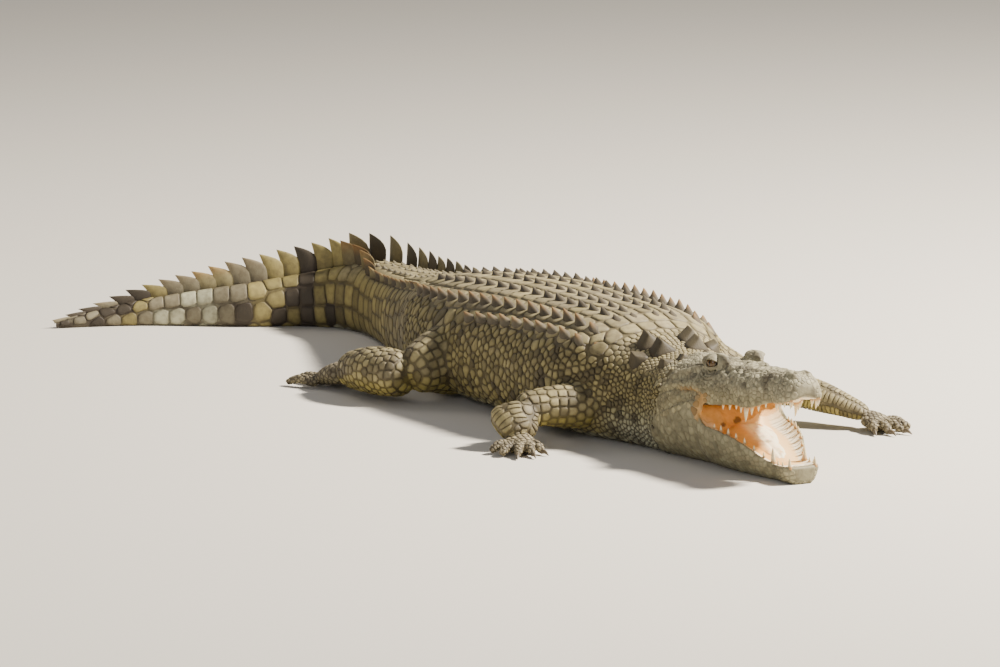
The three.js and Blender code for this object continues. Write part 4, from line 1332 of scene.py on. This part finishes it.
def add_fin(
    u, left, height, length, thick, lean, tilt=0.0, rust=0.0, dark=0.5, yellow=0.1, pale=0.1, kind=KEEL,
):
    """A blade on the body, this far left of its middle line. lean is how far back its tip stands."""
    near_u = np.array((u - 1.0, u + 1.0, u))
    share = left / body_at(near_u)[0]
    spot = body_point(near_u, left, body_height(near_u, share) - COAT)
    ahead = unit(spot[1] - spot[0])
    out = unit(body_point(near_u, left * 1.1, 0 * near_u) - body_point(near_u, left, 0 * near_u))[2]
    slope = np.diff(body_height(near_u[2], np.abs(share[2]) + np.array((-0.03, 0.03))))[0]
    lean_out = math.atan(-slope / (0.06 * body_at(near_u)[0][2])) if kind == ROOF else math.radians(tilt)
    up = np.array((0, 0, math.cos(lean_out))) + out * math.sin(lean_out)
    turn = across_turn(abs(share[2]), TOP_POWER)
    turn = turn if left > 0 else math.pi - turn
    sizes = (height, length, thick, lean)
    fins.append([*spot[2], *ahead, *up, *sizes, rust, dark, yellow, pale, u, turn, kind])


def about(value, share=0.1):
    return float(value * rng.uniform(1 - share, 1 + share))


whorl_number = 0
for start, end, count in WHORLS:
    pitch = (end - start) / count
    for whorl in range(count):
        u = start + pitch * (whorl + 0.55)
        half = float(body_at(u)[0])
        for sign in (1, -1):
            if end == TRUNK_END:
                grown = float(ramp(u, 230, 400))
                for rank, (height, tilt, thick, rust, dark) in enumerate(KEEL_ROWS):
                    if grown > 0.08 and (rank < 3 or u < 860):
                        add_fin(u, sign * row_shares(u)[rank] * half, about(height) * grown, pitch * 0.98,
                                thick, 0.34, tilt, rust, dark)
            elif start < PAIR_END:
                share = float(crest_share(u))
                height = float((left_row_at if sign > 0 else right_row_at)(u)[0])
                add_fin(u, sign * share * half, about(height, 0.06), pitch * 1.3, 22 - 0.1 * height, 0.6,
                        float(np.interp(u, (TRUNK_END, PAIR_END), (16, 3))), rust=0.5 if sign < 0 else 0.0,
                        dark=(0.55, 0.9)[whorl % 2], yellow=0.6, pale=0.1, kind=LEAF if height > 34 else KEEL)
                for inner in (0.14, 0.4):
                    if inner < share - 0.16:
                        add_fin(u, sign * inner * half, 9.0, pitch * 0.8, 14, 0.3, dark=0.3)
            elif sign > 0:
                y, d, p, r = TAIL_TONES[TAIL_CREST[whorl_number]]
                lean = float(np.interp(u, (PAIR_END, 2500, 2900, 3060), (0.8, 1.05, 1.05, 0.5)))
                add_fin(u, 0.001, about(float(crest_at(u)[0]), 0.05) + 4, pitch * 1.06,
                        float(np.interp(u, (2180, 3060), (13, 4))), lean, rust=r, dark=d, yellow=y, pale=p,
                        kind=LEAF)
        if start >= PAIR_END:
            whorl_number += 1
# The nape's plates are dark, partly their own dark brown and partly painted shade of their near faces.
for u, left, height in NAPE_PLATES:
    add_fin(u, left, height * 0.95, 20 + height * 0.9, 16 + height * 1.5, 0.2, dark=0.9, yellow=0.8,
            kind=ROOF)

fins = np.array(fins)
spot, ahead, up = fins[:, 0:3], fins[:, 3:6], fins[:, 6:9]
across = unit(np.cross(up, ahead))
tall, length, thick, lean = (fins[:, k, None] for k in (9, 10, 11, 12))
spin = np.arange(FIN_DIRECTIONS) / FIN_DIRECTIONS * FULL_TURN
rings, rim = [], []
leaf, roof = fins[:, 19, None] == LEAF, fins[:, 19, None] == ROOF
for level in FIN_LEVELS:
    t = max(level, 0.0)
    # A keel is a low wedge. A leaf rises upright at its front and bends back to a tip over its rear edge.
    # A roof has a level ridge and straight sides.
    keel_front = -0.5 + (0.5 + lean) * t**1.2
    leaf_front = -0.5 + (0.5 + lean) * max((t - 0.3) / 0.7, 0) ** 2.2
    front = length * np.where(leaf, leaf_front, np.where(roof, -0.5 + 0.3 * t, keel_front))
    keel_rear = 0.5 + (lean - 0.5) * t - 0.06 * math.sin(math.pi * t)
    rear = length * np.where(leaf, 0.5 + (lean - 0.5) * t**1.3, np.where(roof, 0.5 - 0.12 * t, keel_rear))
    wide = thick / 2 * np.where(roof, 1 - t, (1 - t) ** np.where(leaf, 0.55, 0.85)) + 0.5
    round_it = np.where(roof, 0.55, 1.0)
    ahead_share = np.sign(np.cos(spin)) * np.abs(np.cos(spin)) ** round_it
    flat_along = (front + rear) / 2 + (rear - front) / 2 * ahead_share
    flat_across = wide * np.sign(np.sin(spin)) * np.abs(np.sin(spin)) ** np.where(roof, 0.55, 1.35)
    wavy = 1 + 0.05 * np.sin(spin * 3 + fins[:, 17, None])
    rings.append(
        spot[:, None]
        + ahead[:, None] * flat_along[..., None]
        + across[:, None] * (flat_across * wavy)[..., None]
        + up[:, None] * (tall * level)[..., None]
    )
    rim.append(np.full((len(fins), FIN_DIRECTIONS), 0.55 * (1 - t) ** 3 if level >= 0 else 1.0))
tip = spot + ahead * (length * lean) + up * tall
corners = np.concatenate([tip[:, None], *rings[::-1]], 1)
rim = np.concatenate([np.zeros((len(fins), 1)), *rim[::-1]], 1)
keel_piece = mesh_from_rings("keels", corners, FIN_DIRECTIONS)
per = corners.shape[1]
for label, column in (("dark", 14), ("yellow", 15), ("pale", 16)):
    attribute(keel_piece.data, label, np.repeat(fins[:, column], per))
grown = np.concatenate([[1.0], np.repeat(np.maximum(FIN_LEVELS, 0)[::-1], FIN_DIRECTIONS)])
rusty = fins[:, 13, None] * ramp(grown, 0.35, 0.95)
attribute(keel_piece.data, "rust", rusty.ravel())
attribute(keel_piece.data, "tone", np.repeat(rng.uniform(0.2, 0.9, len(fins)), per))
attribute(keel_piece.data, "rim", rim.ravel())
u, v = unwrapped(np.full(len(fins), BODY), fins[:, 17], fins[:, 18], np.zeros(len(fins)))
bake_patches(keel_piece, u, v, per, FIN_DIRECTIONS, len(FIN_LEVELS))
keel_piece.data.materials.append(hide)
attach(keel_piece, "root")


# ---------------------------------------------------------------- eyes
# Each eye is a ball with a dark upright slit in an olive-gold iris, under a clear wet front.

EYE_WET = {"Roughness": 0.22, "Specular IOR Level": 0.25, "Coat Weight": 0.35, "Coat Roughness": 0.03}
eye_glass, tree, shader = new_material("crocodile eye", EYE_WET)
eye_across, eye_upright, eye_away = (
    node(tree, "Attribute", out="Fac", attribute_name=label) for label in ("across", "upright", "away")
)
where = node(tree, "TexCoord", out="Object")
streaks = node(tree, "TexNoise", {"Vector": where, "Scale": 900.0, "Detail": 3.0}, "Fac")
iris = node(tree, "Mix", {0: streaks, 6: srgb("6A4E22"), 7: srgb("35260F")}, 2, data_type="RGBA")
rim_dark = node(tree, "MapRange", {0: eye_away, 1: 0.62, 2: 0.8, 3: 0.0, 4: 1.0})
iris = node(tree, "Mix", {0: rim_dark, 6: iris, 7: srgb("221C14")}, 2, data_type="RGBA")
# The slit is widest half-way up, and comes to a point at both ends.
slit_wide = node(tree, "Math", {0: eye_upright, 1: 2.0}, operation="POWER")
slit_edge = node(tree, "Math", {0: slit_wide, 1: 0.4, 2: 0.1}, operation="MULTIPLY_ADD")
slit_far = node(tree, "Math", {0: eye_across, 1: slit_edge}, operation="ADD")
slit_mask = node(tree, "MapRange", {0: slit_far, 1: 0.19, 2: 0.24, 3: 1.0, 4: 0.0})
eye_colour = node(tree, "Mix", {0: slit_mask, 6: iris, 7: srgb("0A0806")}, 2, data_type="RGBA")
tree.links.new(eye_colour, shader.inputs["Base Color"])

for side, eye_name in ((1, "eye_left"), (-1, "eye_right")):
    eye_bm = bmesh.new()
    bmesh.ops.create_uvsphere(eye_bm, u_segments=64, v_segments=40, radius=(EYE_RADIUS - 0.4) * MM)
    ball_of_eye = mesh_object(eye_name + "ball", eye_bm)
    centre, axis, level, high = eye_frame(side)
    local = vertices(ball_of_eye)
    set_vertices(ball_of_eye, centre + local[:, :1] * level + local[:, 1:2] * high + local[:, 2:] * axis)
    shares = local / EYE_RADIUS
    attribute(ball_of_eye.data, "across", np.abs(shares[:, 0]))
    attribute(ball_of_eye.data, "upright", np.abs(shares[:, 1]))
    attribute(ball_of_eye.data, "away", np.where(shares[:, 2] > 0, np.hypot(shares[:, 0], shares[:, 1]), 1.0))
    ball_of_eye.data.materials.append(eye_glass)
    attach(ball_of_eye, "root")
    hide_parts(eye_name)


# ---------------------------------------------------------------- teeth
# Pointed cones of enamel, slightly bent inwards, each out of a low collar of gum.

ENAMEL = {"Roughness": 0.28, "Subsurface Weight": 0.1, "Subsurface Scale": 0.003}
enamel, tree, shader = new_material("tooth enamel", ENAMEL)
where = node(tree, "TexCoord", out="Object")
stain = node(tree, "TexNoise", {"Vector": where, "Scale": 220.0, "Detail": 4.0}, "Fac")
ivory = node(tree, "Mix", {0: stain, 6: srgb("F0E6C6"), 7: srgb("CDB782")}, 2, data_type="RGBA")
tooth_height = node(tree, "Attribute", out="Fac", attribute_name="grown")
root_share = node(tree, "MapRange", {0: tooth_height, 1: 0.0, 2: 0.35, 3: 0.85, 4: 0.0})
tooth_colour = node(tree, "Mix", {0: root_share, 6: ivory, 7: srgb("A8773A")}, 2, data_type="RGBA")
tree.links.new(tooth_colour, shader.inputs["Base Color"])

TOOTH_LEVELS = (-0.2, 0.0, 0.12, 0.35, 0.6, 0.8, 0.93)
TOOTH_AROUND = 14
tooth_rows = []  # [behind, left, root's height, direction, length, side]
for rows, table, lip_column, inset, direction in (
    (UPPER_TEETH, upper_head_at, 2, 7, -1), (LOWER_TEETH, lower_jaw_at, 1, 9, 1),
):
    for tooth_behind, length in rows:
        values = table(float(tooth_behind))
        for side in (1, -1):
            tooth_left = side * max(float(values[0]) - inset, 8)
            root_height = float(values[lip_column]) - direction * 2
            tooth_rows.append([tooth_behind, tooth_left, root_height, direction, length, side])
tooth_rows = np.array(tooth_rows, float)
root = head_point(tooth_rows[:, 0], tooth_rows[:, 1], tooth_rows[:, 2])
grow = np.zeros((len(root), 3))
grow[:, 2] = tooth_rows[:, 3]
outwards = np.append(HEAD_LEFT, 0) * tooth_rows[:, 5:6]
grow = unit(grow + outwards * 0.1)
tooth_length = tooth_rows[:, 4:5]
tooth_spin = np.arange(TOOTH_AROUND) / TOOTH_AROUND * FULL_TURN
first_axis = unit(np.cross(grow, outwards))
second_axis = np.cross(grow, first_axis)
tooth_rings, tooth_grown = [], []
for level in TOOTH_LEVELS:
    t = max(level, 0)
    wide = (tooth_length * 0.15 + 1.6) * (1 - t) ** 0.7 * (1.25 if level <= 0 else 1.0) + 0.3
    bend = -outwards * (tooth_length * 0.12 * t**2) - np.append(HEAD_BACK, 0) * (-tooth_length * 0.1 * t**2)
    middle = root + grow * tooth_length * level + bend
    tooth_rings.append(
        middle[:, None] + first_axis[:, None] * (wide * np.cos(tooth_spin))[..., None]
        + second_axis[:, None] * (wide * 0.85 * np.sin(tooth_spin))[..., None]
    )
    tooth_grown.append(np.full((len(root), TOOTH_AROUND), t))
tooth_tip = root + grow * tooth_length - outwards * tooth_length * 0.12
tooth_tip += np.append(HEAD_BACK, 0) * tooth_length * 0.1
corners = np.concatenate([tooth_tip[:, None], *tooth_rings[::-1]], 1)
teeth = mesh_from_rings("teeth", corners, TOOTH_AROUND)
attribute(teeth.data, "grown", np.concatenate([np.ones((len(root), 1)), *tooth_grown[::-1]], 1).ravel())
teeth.data.materials.append(enamel)
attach(teeth, "root")


# ---------------------------------------------------------------- tongue
# Broad and fleshy, tied down along its whole length to the floor of the mouth.

TONGUE = smooth_table([(0, 24, 10), (0.3, 44, 15), (0.7, 66, 20), (1, 60, 18)])
tongue_line = [head_place(at) for at in ((118, 0, 45), (200, 0, 64), (318, 0, 100))]
tongue_limb = Limb(tongue_line, TONGUE, 0.3, 0.2)
tongue_bm = bmesh.new()
add_tube(tongue_bm, 80, 120, tongue_limb.surface, None, 0, 1)
bmesh.ops.recalc_face_normals(tongue_bm, faces=tongue_bm.faces)
tongue = mesh_object("tongue_flesh", tongue_bm)
tongue_places, tongue_facing = vertices(tongue), directions_of(tongue.data)
t_behind, t_left, _ = head_coordinates(tongue_places)
furrow = -3.0 * hump(t_left, 0, 5) * ramp(tongue_facing[:, 2], 0.2, 0.6)
furrow += (speckle(tongue_places, 12, 9) - 0.5) * 2.4 + (speckle(tongue_places, 5, 10) - 0.5) * 1.0
set_vertices(tongue, tongue_places + tongue_facing * furrow[:, None])
LINING = {"Roughness": 0.42, "Subsurface Weight": 0.15, "Subsurface Scale": 0.006}
lining, tree, shader = new_material("lining of the mouth", LINING)
where = node(tree, "TexCoord", out="Object")
patch = node(tree, "TexNoise", {"Vector": where, "Scale": 22.0, "Detail": 3.0}, "Fac")
fine_grain = node(tree, "TexNoise", {"Vector": where, "Scale": 240.0, "Detail": 4.0}, "Fac")
# Painted sunlight: the tongue's attribute pale mixes in a pale cream where the sun would fall on it.
painted_sun_share = node(tree, "Attribute", out="Fac", attribute_name="pale")
lining_tone = node(tree, "Mix", {0: patch, 6: srgb("E2AE66"), 7: srgb("C88A42")}, 2, data_type="RGBA")
lining_tone = node(tree, "Mix", {0: painted_sun_share, 6: lining_tone, 7: srgb("F6E8C6")}, 2, data_type="RGBA")
tree.links.new(lining_tone, shader.inputs["Base Color"])
bump = node(tree, "Bump", {"Height": fine_grain, "Distance": 0.0008, "Strength": 0.5})
tree.links.new(bump, shader.inputs["Normal"])
# Painted sunlight on the far part of the tongue, ahead of its root, broken up in patches.
tongue_painted_sun = ramp(t_left, -34, 4) * (1 - ramp(t_behind, 270, 320))
attribute(tongue.data, "pale", tongue_painted_sun * ramp(speckle(tongue_places, 18, 11), 0.1, 0.4))
tongue.data.materials.append(lining)
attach(tongue, "root")
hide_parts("tongue")


# ---------------------------------------------------------------- claws
# Blunt curved horn on the inner three toes of each foot.

CLAW = smooth_table([(0, 6.5, 7.5), (0.5, 4.5, 5.5), (1, 1.2, 1.4)])
claw_bm = bmesh.new()
for claw_line in claw_lines:
    add_tube(claw_bm, 20, 16, Limb(claw_line, CLAW, 0.3, 0.12).surface, None, 0, 1)
bmesh.ops.recalc_face_normals(claw_bm, faces=claw_bm.faces)
claws = mesh_object("claws", claw_bm)
claw_horn, tree, shader = new_material("claw horn", {"Roughness": 0.4})
where = node(tree, "TexCoord", out="Object")
layers = node(tree, "TexNoise", {"Vector": where, "Scale": 90.0, "Detail": 5.0, "Distortion": 0.6}, "Fac")
claw_colour = node(tree, "Mix", {0: layers, 6: srgb("2F2921"), 7: srgb("7A6C56")}, 2, data_type="RGBA")
tree.links.new(claw_colour, shader.inputs["Base Color"])
claws.data.materials.append(claw_horn)
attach(claws, "root")
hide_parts(*[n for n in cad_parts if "claw" in n])
